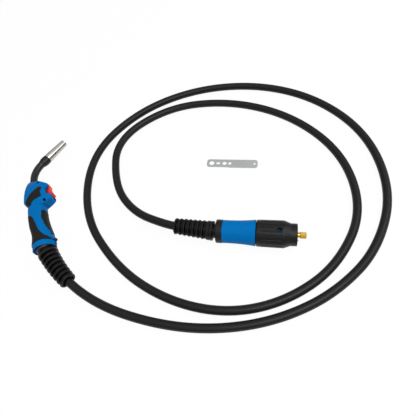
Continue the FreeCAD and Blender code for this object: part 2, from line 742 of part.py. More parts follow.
def handle_parts():
    outer = handle_body(0)
    inner = handle_body(-SHELL_WALL).cut(behind(-SOCKET_BLOCK))
    floor = handle_body(-PAD_DEPTH)
    proud = handle_body(PAD_PROUD)
    parts = {}
    for side, word in ((1, "upper"), (-1, "lower")):
        shell = handle_shell(side, outer, inner, floor)
        for name, pocket in zip(("thumb_pad", "finger_grip", "palm_grip"), pad_pockets(side, floor)):
            shell = shell.cut(pocket)
            pad = proud.common(pocket)
            parts[name + "_" + word] = pad_clear(pad)
        parts["handle_shell_" + word] = shell
    return {name: placed(shape, HANDLE_FRAME) for name, shape in parts.items()}


def pad_clear(pad):
    """Open a pad over the screws and keep it in front of the ring."""
    hole = SCREW_HEAD_RADIUS + SCREW_PLAY
    cuts = [behind(-RING_FRONT)]
    for x, y in SCREW_PLACES:
        cuts.append(cylinder(hole, vector(x, y, -TALL), vector(x, y, TALL)))
    return pad.cut(cuts)


def socket_ring():
    """Ring that closes the ball socket at the rear of the handle."""
    inside = BALL_RADIUS + SPIGOT_WALL + SCREW_PLAY
    step = -RING_FRONT + RING_SPIGOT + SCREW_PLAY
    body = turned([
        (-RING_FRONT, inside, 0), (step, inside, 0), (step, BALL_RADIUS / 2, 0),
        (RING_SEAT_END, BALL_RADIUS / 2, 0), (RING_SEAT_END, BALL_RADIUS - RING_SEAT_EDGE, 0),
        (RING_REAR, RING_MOUTH_RADIUS, 0), (RING_REAR, RING_RADIUS - RING_REAR_DROP, RING_REAR_EDGE),
        (-RING_FRONT, RING_RADIUS, RING_FRONT_EDGE),
    ])
    body = body.cut(Part.makeSphere(BALL_RADIUS + RUNNING_PLAY))
    middle = (RING_REAR - RING_FRONT) / 2
    top = RING_RADIUS + RING_STUD_HEIGHT
    for side in (-1, 1):
        root = vector(middle, side * (RING_RADIUS - RING_STUD_HEIGHT))
        stud = cylinder(RING_STUD_RADIUS, root, vector(middle, side * top))
        rims = [edge for edge in stud.Edges if abs(abs(edge.CenterOfMass.y) - top) < TINY]
        body = body.fuse(stud.makeFillet(RING_STUD_EDGE, rims))
    return placed(body, RING_FRAME)


def handle_screws():
    screws = []
    for x, y in SCREW_PLACES:
        seat = vector(x, y, SCREW_HEAD_SEAT)
        head = cylinder(SCREW_HEAD_RADIUS, seat, seat + UP * SCREW_HEAD_LENGTH)
        shank = cylinder(SCREW_SHANK_RADIUS, vector(x, y, -SCREW_DEPTH), seat)
        top = SCREW_HEAD_SEAT + SCREW_HEAD_LENGTH
        socket = prism(hexagon(SCREW_SOCKET_WIDTH), top - SCREW_SOCKET_DEPTH, top + 1)
        socket.translate(vector(x, y))
        screws.append(head.fuse(shank).cut(socket))
    return placed(Part.makeCompound(screws), HANDLE_FRAME)


def trigger():
    half = TRIGGER_HALF_WIDTH
    body = prism(TRIGGER_OUTLINE, -half, half)
    rims = [edge for edge in body.Edges if abs(abs(edge.CenterOfMass.z) - half) < 1e-3]
    body = body.makeFillet(TRIGGER_EDGE, rims)
    pivot = vector(*TRIGGER_PIVOT)
    body = body.cut(cylinder(TRIGGER_PIN_RADIUS + RUNNING_PLAY, pivot - UP * TALL, pivot + UP * TALL))
    return placed(body, HANDLE_FRAME)


def trigger_pin():
    pivot = vector(*TRIGGER_PIVOT)
    reach = UP * TRIGGER_PIN_HALF_LENGTH
    return placed(cylinder(TRIGGER_PIN_RADIUS, pivot - reach, pivot + reach), HANDLE_FRAME)


def microswitch():
    middle = switch_middle()
    half = vector(SWITCH_DEPTH / 2, SWITCH_LENGTH / 2, SWITCH_HALF_WIDTH)
    body = Part.makeBox(SWITCH_DEPTH, SWITCH_LENGTH, 2 * SWITCH_HALF_WIDTH, middle - half)
    body = body.makeChamfer(SWITCH_EDGE, body.Edges)
    for step in (-1, 1):
        spot = middle + vector(0, step * SWITCH_POST_SPACING / 2)
        body = body.cut(cylinder(SWITCH_POST_RADIUS + SCREW_PLAY, spot - UP * TALL, spot + UP * TALL))
    front = middle + vector(SWITCH_DEPTH / 2, 0)
    well = PLUNGER_INSIDE + PLUNGER_STROKE + RUNNING_PLAY
    body = body.cut(cylinder(PLUNGER_RADIUS + RUNNING_PLAY, front - ALONG * well, front + ALONG))
    return placed(body, HANDLE_FRAME)


def switch_plunger():
    front = switch_middle() + vector(SWITCH_DEPTH / 2, 0)
    crown = front + ALONG * (PLUNGER_REACH - PLUNGER_RADIUS)
    rod = cylinder(PLUNGER_RADIUS, front - ALONG * PLUNGER_INSIDE, crown)
    dome = Part.makeSphere(PLUNGER_RADIUS, crown)
    return placed(rod.fuse(dome).removeSplitter(), HANDLE_FRAME)


def switch_tabs():
    middle = switch_middle()
    back = middle.x - SWITCH_DEPTH / 2
    tabs = []
    for step in (-1, 0, 1):
        corner = vector(back - TAB_LENGTH, middle.y + step * TAB_SPACING - TAB_THICKNESS / 2, -TAB_WIDTH / 2)
        tabs.append(Part.makeBox(TAB_LENGTH, TAB_THICKNESS, TAB_WIDTH, corner))
    return placed(Part.makeCompound(tabs), HANDLE_FRAME)


# Swan neck and what is on it

def swan_neck():
    body = pipe(NECK, NECK_TUBE_RADIUS).cut(pipe(NECK, NECK_TUBE_BORE))
    return placed(body, HANDLE_FRAME)


def neck_jacket():
    edges = part_of_path(NECK, FITTING_OVERLAP + 1, NOZZLE_SEAT - COLLAR_LENGTH)
    body = pipe(edges, NECK_JACKET_RADIUS).cut(pipe(edges, NECK_TUBE_RADIUS + NECK_PLAY))
    return placed(body, HANDLE_FRAME)


def neck_insulator():
    body = turned([
        (-COLLAR_LENGTH, NECK_TUBE_RADIUS + NECK_PLAY, 0),
        (COLLAR_SPIGOT_LENGTH, NECK_TUBE_RADIUS + NECK_PLAY, 0),
        (COLLAR_SPIGOT_LENGTH, COLLAR_SPIGOT_RADIUS, COLLAR_EDGE / 2), (0, COLLAR_SPIGOT_RADIUS, 0),
        (0, COLLAR_RADIUS, COLLAR_EDGE), (COLLAR_CONE - COLLAR_LENGTH, COLLAR_RADIUS, 4 * COLLAR_EDGE),
        (-COLLAR_LENGTH, COLLAR_REAR_RADIUS, COLLAR_EDGE / 2),
    ])
    return placed(body, FRONT_FRAME)


def tip_holder():
    start = NECK_TAIL - COLLAR_LENGTH
    end = start + HOLDER_LENGTH
    body = turned([
        (start, NECK_TUBE_BORE, 0), (end - HOLDER_THREAD_DEPTH, NECK_TUBE_BORE, 0),
        (end - HOLDER_THREAD_DEPTH, TIP_SHANK_RADIUS + RUNNING_PLAY, 0),
        (end, TIP_SHANK_RADIUS + RUNNING_PLAY, 0),
        (end, HOLDER_RADIUS, HOLDER_EDGE), (start, HOLDER_RADIUS, 0),
    ])
    spot = start + (HOLDER_LENGTH - HOLDER_THREAD_DEPTH) / 2
    for index in range(HOLDER_PORTS):
        angle = math.radians(HOLDER_PORT_ANGLE + 360 * index / HOLDER_PORTS)
        outward = vector(0, math.cos(angle), math.sin(angle))
        body = body.cut(cylinder(HOLDER_PORT_RADIUS, vector(spot, 0), vector(spot, 0) + outward * TALL))
    return placed(body, FRONT_FRAME)


def contact_tip():
    seat = NECK_TAIL - COLLAR_LENGTH + HOLDER_LENGTH
    foot = seat - HOLDER_THREAD_DEPTH + TIP_SHANK_GAP
    body = turned([
        (foot, WIRE_BORE_RADIUS, 0), (seat + TIP_LENGTH, WIRE_BORE_RADIUS, 0),
        (seat + TIP_LENGTH, TIP_NOSE_RADIUS, 0), (seat + TIP_LENGTH - TIP_NOSE, TIP_RADIUS, 0),
        (seat, TIP_RADIUS, 0), (seat, TIP_SHANK_RADIUS, 0), (foot, TIP_SHANK_RADIUS, 0),
    ])
    return placed(body, FRONT_FRAME)


def gas_nozzle():
    bore = COLLAR_SPIGOT_RADIUS + RUNNING_PLAY
    body = turned([
        (RUNNING_PLAY, bore, 0), (NOZZLE_STRAIGHT, bore, NOZZLE_BORE_BLEND),
        (NOZZLE_LENGTH - NOZZLE_MOUTH_LENGTH, NOZZLE_TIP_BORE, NOZZLE_MOUTH_BLEND),
        (NOZZLE_LENGTH, NOZZLE_TIP_BORE, NOZZLE_INNER_EDGE), (NOZZLE_LENGTH, NOZZLE_TIP_RADIUS, NOZZLE_EDGE),
        (NOZZLE_STRAIGHT, NOZZLE_BASE_RADIUS, NOZZLE_SHOULDER_BLEND),
        (RUNNING_PLAY, NOZZLE_BASE_RADIUS, NOZZLE_EDGE),
    ])
    spot = vector(NOZZLE_SLOT_PLACE, 0)
    outward = direction(-90) + UP * NOZZLE_SLOT_RISE
    body = body.cut(cylinder(NOZZLE_SLOT_RADIUS, spot, spot + outward * TALL))
    return placed(body, FRONT_FRAME)


def neck_fitting():
    """Hexagon fitting that joins the neck to the lead's inner hose."""
    ahead = direction(NECK_HEADING)
    bar = along_x(prism(hexagon(FITTING_FLATS), 0, FITTING_LENGTH))
    bore = tube(-1, FITTING_LENGTH - FITTING_OVERLAP, NECK_TUBE_BORE, 0)
    socket = tube(FITTING_LENGTH - FITTING_OVERLAP, FITTING_LENGTH + 1, NECK_TUBE_RADIUS, 0)
    origin = NECK_ROOT - ahead * (FITTING_LENGTH - FITTING_OVERLAP)
    body = bar.cut(bore).cut(socket)
    return placed(placed(body, placement(origin, NECK_HEADING)), HANDLE_FRAME)


def inner_hose():
    """Stretch of the lead's hose between the fitting and the ball joint."""
    ahead = direction(NECK_HEADING)
    start = NECK_ROOT - ahead * (FITTING_LENGTH - FITTING_OVERLAP + HOSE_FITTING_GAP)
    end = direction(HANDLE_HEADING) * -(BALL_RADIUS + HOSE_BALL_GAP)
    edges, _ = path_edges([start] + [vector(x, y) for x, y in HOSE_ROUTE] + [end])
    return placed(pipe(edges, HOSE_RADIUS), HANDLE_FRAME)


# Machine plug

SLEEVE_START = PLUG_COLLAR_START + PLUG_COLLAR_LENGTH
SLEEVE_END = SLEEVE_START + PLUG_SLEEVE_LENGTH
NUT_START = SLEEVE_END + PLUG_NUT_GAP
NUT_END = NUT_START + PLUG_NUT_LENGTH
LIP_START = NUT_START + PLUG_NUT_LIP_PLACE
FLANGE_START = LIP_START + PLUG_NUT_LIP_LENGTH + CORE_LIP_GAP
FACE_START = FLANGE_START + CORE_FLANGE_LENGTH


def plug_boot():
    """Ribbed rubber boot; its flange is held inside the collar."""
    axis = [Part.LineSegment(ORIGIN, vector(PLUG_BOOT_LENGTH * 2, 0)).toShape()]
    taper = (PLUG_BOOT_FRONT_RADIUS - PLUG_BOOT_TAIL_RADIUS) / PLUG_BOOT_LENGTH

    def radius_at(distance):
        return PLUG_BOOT_TAIL_RADIUS + distance * taper

    stations = [
        (0, PLUG_BOOT_LIP), (PLUG_BOOT_CONE / 2, radius_at(0) - 1),
        (PLUG_BOOT_CONE, radius_at(PLUG_BOOT_CONE)),
    ]
    stations += rib_stations(
        PLUG_BOOT_FIRST_GROOVE, PLUG_BOOT_PITCH, BOOT_GROOVES, PLUG_BOOT_GROOVE_DEPTH, radius_at)
    end = PLUG_BOOT_LENGTH
    for half_widths, drop in ((-2, 0), (-1, PLUG_BOOT_LINE_DEPTH), (1, PLUG_BOOT_LINE_DEPTH), (2, 0)):
        place = PLUG_BOOT_LINE_PLACE + half_widths * PLUG_BOOT_LINE_WIDTH / 2
        stations.append((place, radius_at(place) - drop))
    stations += [(end - PLUG_BOOT_EDGE, radius_at(end)), (end, radius_at(end) - PLUG_BOOT_EDGE)]
    body = placed(ribbed(axis, stations), PLUG_BOOT_FRAME)
    neck_end = PLUG_COLLAR_START + PLUG_COLLAR_WALL + SCREW_PLAY
    neck = turned([
        (end - 1, 0, 0), (neck_end + PLUG_BOOT_FLANGE, 0, 0),
        (neck_end + PLUG_BOOT_FLANGE, PLUG_SLEEVE_BORE - SCREW_PLAY, 0),
        (neck_end, PLUG_SLEEVE_BORE - SCREW_PLAY, 0), (neck_end, PLUG_BOOT_NECK_RADIUS, 0),
        (end - 1, PLUG_BOOT_NECK_RADIUS, 0),
    ])
    body = body.fuse(placed(neck, PLUG_FRAME))
    bore = tube(-1, CABLE_GRIP, CABLE_RADIUS + BORE_PLAY, 0)
    bore = bore.fuse(tube(CABLE_GRIP - 1, CORE_REAR + 1, FERRULE_RADIUS + SCREW_PLAY, 0))
    body = body.cut(placed(bore, PLUG_BOOT_FRAME))
    return body.cut(placed(tube(CORE_REAR, SLEEVE_START, CORE_REAR_RADIUS + SCREW_PLAY, 0), PLUG_FRAME))


def crimp_ferrule():
    """Ferrule on the cable's end, in line with the boot."""
    return placed(tube(CABLE_GRIP, CORE_REAR - FERRULE_GAP, FERRULE_RADIUS, CORE_BORE), PLUG_BOOT_FRAME)


def plug_collar():
    """Gland nut that clamps the boot's flange to the sleeve."""
    start, end = PLUG_COLLAR_START, SLEEVE_START
    hole = PLUG_BOOT_NECK_RADIUS + SCREW_PLAY
    body = turned([
        (start, hole, 0), (start + PLUG_COLLAR_WALL, hole, 0),
        (start + PLUG_COLLAR_WALL, PLUG_SLEEVE_BORE, 0),
        (end, PLUG_SLEEVE_BORE, 0), (end, PLUG_COLLAR_RADIUS, PLUG_COLLAR_EDGE),
        (start, PLUG_COLLAR_RADIUS, PLUG_COLLAR_EDGE),
    ])
    return placed(body, PLUG_FRAME)


def plug_sleeve():
    """Waisted grip sleeve; its spigot runs on under the hand nut."""
    spigot_end = SLEEVE_END + PLUG_SLEEVE_SPIGOT_LENGTH
    waist = Part.Arc(
        vector(SLEEVE_START, PLUG_SLEEVE_REAR_RADIUS),
        vector(SLEEVE_START + PLUG_SLEEVE_LENGTH / 2, PLUG_SLEEVE_WAIST_RADIUS),
        vector(SLEEVE_END, PLUG_SLEEVE_FRONT_RADIUS),
    ).toShape()
    lip = CORE_RADIUS + SCREW_PLAY
    corners = [
        (SLEEVE_END, PLUG_SLEEVE_FRONT_RADIUS), (SLEEVE_END, PLUG_SLEEVE_SPIGOT_RADIUS),
        (spigot_end, PLUG_SLEEVE_SPIGOT_RADIUS), (spigot_end, lip), (spigot_end - PLUG_SLEEVE_LIP, lip),
        (spigot_end - PLUG_SLEEVE_LIP, PLUG_SLEEVE_BORE), (SLEEVE_START, PLUG_SLEEVE_BORE),
        (SLEEVE_START, PLUG_SLEEVE_REAR_RADIUS),
    ]
    edges = [waist]
    for (x0, y0), (x1, y1) in zip(corners, corners[1:]):
        edges.append(Part.LineSegment(vector(x0, y0), vector(x1, y1)).toShape())
    body = Part.Face(Part.Wire(edges)).revolve(ORIGIN, ALONG, 360)
    return placed(body, PLUG_FRAME)


def plug_nut():
    """Hand nut: fluted grip, shoulder and threaded mouth, with an inner lip that the core's flange holds."""
    start, end = NUT_START, NUT_END
    body = turned([
        (start, PLUG_NUT_BORE, 0), (LIP_START, PLUG_NUT_BORE, 0), (LIP_START, CORE_RADIUS + RUNNING_PLAY, 0),
        (LIP_START + PLUG_NUT_LIP_LENGTH, CORE_RADIUS + RUNNING_PLAY, 0),
        (LIP_START + PLUG_NUT_LIP_LENGTH, PLUG_NUT_THREAD_RADIUS, 0), (end, PLUG_NUT_THREAD_RADIUS, 0),
        (end, PLUG_NUT_MOUTH_RADIUS, PLUG_NUT_EDGE),
        (start + PLUG_NUT_SHOULDER_END, PLUG_NUT_MOUTH_RADIUS, PLUG_NUT_SHOULDER_FOOT),
        (start + PLUG_NUT_SHOULDER_START, PLUG_NUT_RADIUS, PLUG_NUT_SHOULDER_BLEND),
        (start + PLUG_NUT_BAND, PLUG_NUT_BAND_RADIUS, PLUG_NUT_BAND_BLEND),
        (start, PLUG_NUT_REAR_RADIUS, PLUG_NUT_EDGE),
    ])
    flute_start = start + PLUG_NUT_BAND + PLUG_NUT_FLUTE_START_GAP
    flute_end = start + PLUG_NUT_SHOULDER_START - PLUG_NUT_FLUTE_END_GAP
    flutes = []
    for index in range(PLUG_NUT_FLUTES):
        angle = math.radians(PLUG_NUT_HOLE_ANGLE + 360 * (index + 0.5) / PLUG_NUT_FLUTES)
        out = vector(0, math.cos(angle), math.sin(angle))
        middle = PLUG_NUT_FLUTE_RADIUS - PLUG_NUT_FLUTE_DEPTH
        low = ALONG * flute_start + out * (PLUG_NUT_BAND_RADIUS + middle)
        high = ALONG * flute_end + out * (PLUG_NUT_RADIUS + middle)
        flutes.append(cylinder(PLUG_NUT_FLUTE_RADIUS, low, high))
    angle = math.radians(PLUG_NUT_HOLE_ANGLE)
    out = vector(0, math.cos(angle), math.sin(angle))
    spot = ALONG * (start + PLUG_NUT_HOLE_PLACE)
    hole = cylinder(PLUG_NUT_HOLE_RADIUS, spot + out * PLUG_SLEEVE_BORE, spot + out * TALL)
    return placed(body.cut(flutes + [hole]), PLUG_FRAME)


def plug_core():
    """Brass body through the plug, with the flange that holds the hand nut."""
    rear_end = CORE_REAR + CORE_REAR_LENGTH
    body = turned([
        (CORE_REAR, CORE_BORE, 0), (FACE_START, CORE_BORE, 0), (FACE_START, CORE_FLANGE_RADIUS, 0),
        (FLANGE_START, CORE_FLANGE_RADIUS, 0), (FLANGE_START, CORE_RADIUS, 0), (rear_end, CORE_RADIUS, 0),
        (rear_end, CORE_REAR_RADIUS, 1), (CORE_REAR, CORE_REAR_RADIUS, 0),
    ])
    return placed(body, PLUG_FRAME)


def pin_spot(angle_degrees):
    angle = math.radians(angle_degrees)
    return vector(FACE_START, PIN_CIRCLE * math.cos(angle), PIN_CIRCLE * math.sin(angle))


def plug_face():
    """Insulating insert round the nose, with seats for the contact pins."""
    body = turned([
        (FACE_START, NOSE_RADIUS + NECK_PLAY, 0), (FACE_START + FACE_LENGTH, NOSE_RADIUS + NECK_PLAY, 0),
        (FACE_START + FACE_LENGTH, FACE_RADIUS, 1), (FACE_START, FACE_RADIUS, 0),
    ])
    for angle in PIN_ANGLES:
        spot = pin_spot(angle)
        barrel = PIN_RADIUS + PIN_BARREL_WALL + 2 * RUNNING_PLAY
        body = body.cut(cylinder(barrel, spot, spot + ALONG * (PIN_BARREL_START + PIN_BARREL_LENGTH)))
        body = body.cut(cylinder(PIN_RADIUS + BORE_PLAY, spot, spot + ALONG * (FACE_LENGTH + 1)))
    return placed(body, PLUG_FRAME)


def pin_barrels():
    barrels = []
    for angle in PIN_ANGLES:
        spot = pin_spot(angle) + ALONG * PIN_BARREL_START
        end = spot + ALONG * PIN_BARREL_LENGTH
        barrel = cylinder(PIN_RADIUS + RUNNING_PLAY + PIN_BARREL_WALL, spot, end)
        barrels.append(barrel.cut(cylinder(PIN_RADIUS + RUNNING_PLAY, spot - ALONG, end + ALONG)))
    return placed(Part.makeCompound(barrels), PLUG_FRAME)


def contact_pin(angle):
    start = pin_spot(angle) + ALONG * PIN_PLACE
    end = start + ALONG * (PIN_LENGTH - PIN_RADIUS / 2)
    body = cylinder(PIN_RADIUS, start, end).fuse(
        Part.makeCone(PIN_RADIUS, PIN_RADIUS / 2, PIN_RADIUS / 2, end, ALONG))
    return placed(body, PLUG_FRAME)


def nose_tube():
    end = FACE_START + NOSE_LENGTH
    groove = FACE_START + NOSE_RING_PLACE
    low = NOSE_RADIUS - NOSE_RING_RADIUS / 2
    body = turned([
        (FACE_START, LINER_RADIUS + NECK_PLAY, 0), (end, LINER_RADIUS + NECK_PLAY, 0), (end, NOSE_RADIUS, 0),
        (groove + NOSE_RING_RADIUS, NOSE_RADIUS, 0), (groove + NOSE_RING_RADIUS, low, 0),
        (groove - NOSE_RING_RADIUS, low, 0), (groove - NOSE_RING_RADIUS, NOSE_RADIUS, 0),
        (FACE_START, NOSE_RADIUS, 0),
    ])
    return placed(body, PLUG_FRAME)


def nose_ring():
    spot = vector(FACE_START + NOSE_RING_PLACE, 0)
    middle = NOSE_RADIUS + NOSE_RING_RADIUS / 2
    return placed(Part.makeTorus(middle, NOSE_RING_RADIUS, spot, ALONG), PLUG_FRAME)


def liner_nut():
    start = FACE_START + LINER_NUT_PLACE
    end = start + LINER_NUT_LENGTH
    bar = along_x(prism(hexagon(LINER_NUT_FLATS), start, end))
    bar.rotate(ORIGIN, ALONG, 30)
    corner = LINER_NUT_FLATS / math.sqrt(3)
    chamfer = turned([
        (start, 0, 0), (end, 0, 0), (end, LINER_NUT_FLATS / 2 - LINER_NUT_FACE_DROP, 0),
        (end - LINER_NUT_CHAMFER, corner + BORE_PLAY, 0), (start + LINER_NUT_CHAMFER, corner + BORE_PLAY, 0),
        (start, LINER_NUT_FLATS / 2 - LINER_NUT_FACE_DROP, 0),
    ])
    nose_end = FACE_START + NOSE_LENGTH
    body = bar.common(chamfer).cut(tube(start - 1, nose_end, NOSE_RADIUS + NECK_PLAY, 0))
    body = body.cut(tube(nose_end - 1, end + 1, LINER_RADIUS + NECK_PLAY, 0))
    return placed(body, PLUG_FRAME)


def wire_liner():
    """End of the steel liner that guides the wire, flush in its nut."""
    return placed(tube(FACE_START, FACE_START + LINER_LENGTH, LINER_RADIUS, LINER_BORE), PLUG_FRAME)


# Spanner

def tip_spanner():
    """Flat spanner with round, two-flat, hexagon and square openings and a hanging hole."""
    narrow, wide = SPANNER_WIDTH / 2, SPANNER_TAIL_WIDTH / 2
    step = SPANNER_STEP_PLACE
    plate = prism([
        (0, -narrow, SPANNER_CORNER), (step, -narrow, SPANNER_STEP_LENGTH),
        (step + SPANNER_STEP_LENGTH, -wide, SPANNER_STEP_LENGTH),
        (SPANNER_LENGTH, -wide, SPANNER_CORNER), (SPANNER_LENGTH, narrow, SPANNER_CORNER),
        (0, narrow, SPANNER_CORNER),
    ], 0, SPANNER_THICKNESS)
    holes = []
    for x, radius in (SPANNER_ROUND_HOLE, SPANNER_HANG_HOLE):
        holes.append(cylinder(radius, vector(x, 0, -1), vector(x, 0, SPANNER_THICKNESS + 1)))
    x, radius = SPANNER_FLAT_HOLE
    slot = cylinder(radius, vector(x, 0, -1), vector(x, 0, SPANNER_THICKNESS + 1))
    corner = vector(x - 2 * radius, -SPANNER_FLAT_WIDTH / 2, -SPANNER_THICKNESS)
    flats = Part.makeBox(4 * radius, SPANNER_FLAT_WIDTH, TALL, corner)
    holes.append(slot.common(flats))
    x, flat = SPANNER_HEX_HOLE
    hexagonal = prism(hexagon(flat), -1, SPANNER_THICKNESS + 1)
    hexagonal.rotate(ORIGIN, UP, 30)
    hexagonal.translate(vector(x, 0))
    holes.append(hexagonal)
    x, flat = SPANNER_SQUARE_HOLE
    holes.append(prism([
        (x - flat / 2, -flat / 2, 1), (x + flat / 2, -flat / 2, 1),
        (x + flat / 2, flat / 2, 1), (x - flat / 2, flat / 2, 1),
    ], -1, SPANNER_THICKNESS + 1))
    plate = plate.cut(holes)
    plate.translate(vector(-SPANNER_LENGTH / 2, 0))
    return placed(plate, placement(vector(*SPANNER_MIDDLE), SPANNER_HEADING))


def build():
    parts = handle_parts()
    parts.update({
        "torch_cable": torch_cable(),
        "ball_sleeve": ball_sleeve(),
        "torch_boot": torch_boot(),
        "socket_ring": socket_ring(),
        "handle_screws": handle_screws(),
        "trigger": trigger(),
        "trigger_pin": trigger_pin(),
        "microswitch": microswitch(),
        "switch_plunger": switch_plunger(),
        "switch_tabs": switch_tabs(),
        "swan_neck": swan_neck(),
        "neck_jacket": neck_jacket(),
        "neck_insulator": neck_insulator(),
        "tip_holder": tip_holder(),
        "contact_tip": contact_tip(),
        "gas_nozzle": gas_nozzle(),
        "neck_fitting": neck_fitting(),
        "inner_hose": inner_hose(),
        "plug_boot": plug_boot(),
        "crimp_ferrule": crimp_ferrule(),
        "plug_collar": plug_collar(),
        "plug_sleeve": plug_sleeve(),
        "plug_nut": plug_nut(),
        "plug_core": plug_core(),
        "plug_face": plug_face(),
        "pin_barrels": pin_barrels(),
        "contact_pin_1": contact_pin(PIN_ANGLES[0]),
        "contact_pin_2": contact_pin(PIN_ANGLES[1]),
        "nose_tube": nose_tube(),
        "nose_ring": nose_ring(),
        "liner_nut": liner_nut(),
        "wire_liner": wire_liner(),
        "tip_spanner": tip_spanner(),
    })
    return parts


def main():
    os.makedirs("parts", exist_ok=True)
    for name, shape in build().items():
        solids = shape.Solids
        print("%-20s solids %d, volume %.0f, valid %s" % (name, len(solids), shape.Volume, shape.isValid()))
        shape.exportStep("parts/%s.step" % name)


main()
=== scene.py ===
import math

import bpy
from mathutils import Matrix, Vector
from mathutils.bvhtree import BVHTree


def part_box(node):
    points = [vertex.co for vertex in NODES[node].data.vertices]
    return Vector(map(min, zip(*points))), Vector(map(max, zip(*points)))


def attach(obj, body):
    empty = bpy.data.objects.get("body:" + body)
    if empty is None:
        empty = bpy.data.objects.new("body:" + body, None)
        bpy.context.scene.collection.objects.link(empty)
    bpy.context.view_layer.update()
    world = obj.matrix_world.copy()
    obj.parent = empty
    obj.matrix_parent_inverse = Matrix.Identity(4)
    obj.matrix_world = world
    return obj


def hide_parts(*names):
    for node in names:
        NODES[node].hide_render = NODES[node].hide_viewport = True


bl_info = {
    "name": "Welding torch with lead",
    "version": (1, 0, 0),
    "blender": (4, 5, 0),
    "location": "View3D > Sidebar > Torch",
    "description": "Dresses a wire-feed welding torch, its coiled lead, machine plug and tip spanner",
    "category": "Object",
}

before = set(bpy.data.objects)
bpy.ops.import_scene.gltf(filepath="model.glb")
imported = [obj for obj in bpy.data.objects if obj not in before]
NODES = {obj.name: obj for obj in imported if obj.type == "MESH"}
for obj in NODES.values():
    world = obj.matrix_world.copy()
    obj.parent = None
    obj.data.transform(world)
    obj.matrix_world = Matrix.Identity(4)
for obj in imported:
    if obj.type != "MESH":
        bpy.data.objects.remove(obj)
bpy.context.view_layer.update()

# The cord's route on the floor, from the ball joint to the plug, in metres
ROUTE = [
    (-0.162, -0.086, 0.0206), (-0.131, -0.1355, 0.0160), (-0.052, -0.194, 0.0086), (0.053, -0.229, 0.0075),
    (0.149, -0.239, 0.0075), (0.242, -0.226, 0.0075), (0.329, -0.188, 0.0075), (0.406, -0.119, 0.0075),
    (0.452, -0.008, 0.0075), (0.436, 0.125, 0.0075), (0.355, 0.231, 0.0075), (0.236, 0.288, 0.0075),
    (0.099, 0.291, 0.0075), (-0.026, 0.238, 0.0075), (-0.113, 0.131, 0.0075), (-0.107, -0.017, 0.0075),
    (-0.029, -0.128, 0.0075), (0.062, -0.190, 0.0075), (0.159, -0.215, 0.0075), (0.253, -0.199, 0.0075),
    (0.339, -0.144, 0.0075), (0.397, -0.044, 0.0075), (0.383, 0.083, 0.0075), (0.300, 0.187, 0.0075),
    (0.180, 0.244, 0.0075), (0.046, 0.245, 0.0075), (-0.065, 0.165, 0.0075), (-0.054, 0.046, 0.0075),
    (-0.010, -0.019, 0.0080), (0.0594, -0.0593, 0.0231), (0.0940, -0.0667, 0.0231), (0.0985, -0.0676, 0.0231),
]
BALL = Vector(ROUTE[0])
PLUG_END = Vector(ROUTE[-1])
BOOT_AXIS = (PLUG_END - Vector(ROUTE[-3])).normalized()
PLUG_AXIS = Vector((math.cos(math.radians(-7)), math.sin(math.radians(-7)), 0))
MILLIMETRE = 0.001
UP = Vector((0, 0, 1))

# Blender's noise seldom leaves this range
NOISE_LOW, NOISE_HIGH = 0.3, 0.7

# The guard's flat face, from the ball's centre, and its dots: rows in each half, columns to each side of the
# middle, and how much closer the rows of a triangular pattern stand than its dots
GUARD_MIDDLE = Vector((-0.0108, 0.0925, 0))
GUARD_ALONG = Vector((0.69, 0.72, 0)).normalized()
GUARD_OUT = Vector((0.72, -0.69, 0)).normalized()
DOT_ROWS, DOT_COLUMNS = 6, 3
ROW_STEP = 0.866

INLAY_PIECES = [
    "thumb_pad_upper", "thumb_pad_lower", "finger_grip_upper", "finger_grip_lower",
    "palm_grip_upper", "palm_grip_lower",
]
BRASS_PIECES = [
    "plug_core", "nose_tube", "liner_nut", "crimp_ferrule", "pin_barrels", "contact_pin_1", "contact_pin_2",
]

# The nozzle's outside and its bore, as (distance from its base, radius) in millimetres
NOZZLE_OUTSIDE = [
    (0.3, 8.2), (0.8, 8.7), (7.0, 8.7), (11.0, 8.6), (16.0, 8.35), (22.0, 8.05), (48.5, 6.9), (49.0, 6.4),
]
NOZZLE_BORE = [(49.0, 5.6), (48.8, 5.4), (45.0, 5.4), (43.0, 5.6), (13.0, 7.2), (10.0, 7.4), (0.3, 7.4)]
NOZZLE_BASE = Vector((-0.0394, 0.2018, 0))
NOZZLE_HEADING = math.radians(55)

# The gas hole: how far along the nozzle, its radius, how far its drill reaches, in millimetres, and its rise
HOLE_ALONG = 17.6
HOLE_RADIUS = 1.25
HOLE_REACH = (5.0, 12.0)
HOLE_RISE = 0.45

# The latch lug's profile in millimetres, its place from the ball's centre and the way it points
LUG = [(0, 2.9), (3.6, 3.2), (5.2, 3.1), (6.3, 2.5), (7.0, 1.4), (7.1, 0.4)]
LUG_PLACE = Vector((0.0143, 0.0135, 0))
LUG_OUT = Vector((0.95, -0.31, 0)).normalized()

# A groove's half width as a share of the pitch, where its shoulder starts, and how narrow the webs are
GROOVE_SHARE = 0.37
SHOULDER_START = 0.66
WEB_SHARPNESS = 6

# The way the spanner lies on the floor
SPANNER_HEADING = math.radians(-6.9)

# The lamps: name, place, aim, width and the setting that holds the power
LAMPS = [
    ("key_light", (0.75, -0.55, 1.6), (0.05, 0, 0), 1.2, "key_power"),
    ("fill_light", (1.3, 0.3, 1.1), (0.1, 0, 0), 1.0, "fill_power"),
]

# The camera's place and the ways its right, its top and its back point
CAMERA_PLACE = (0.2081, -0.3887, 0.6096)
CAMERA_RIGHT = (0.99163, 0, -0.12912)
CAMERA_TOP = (0.06692, 0.85521, 0.51395)
CAMERA_BACK = (0.11042, -0.51829, 0.84805)


def linear(code):
    """Linear colour from an sRGB hex code."""
    parts = [int(code[index:index + 2], 16) / 255 for index in (1, 3, 5)]
    return tuple(part / 12.92 if part <= 0.04045 else ((part + 0.055) / 1.055) ** 2.4 for part in parts)


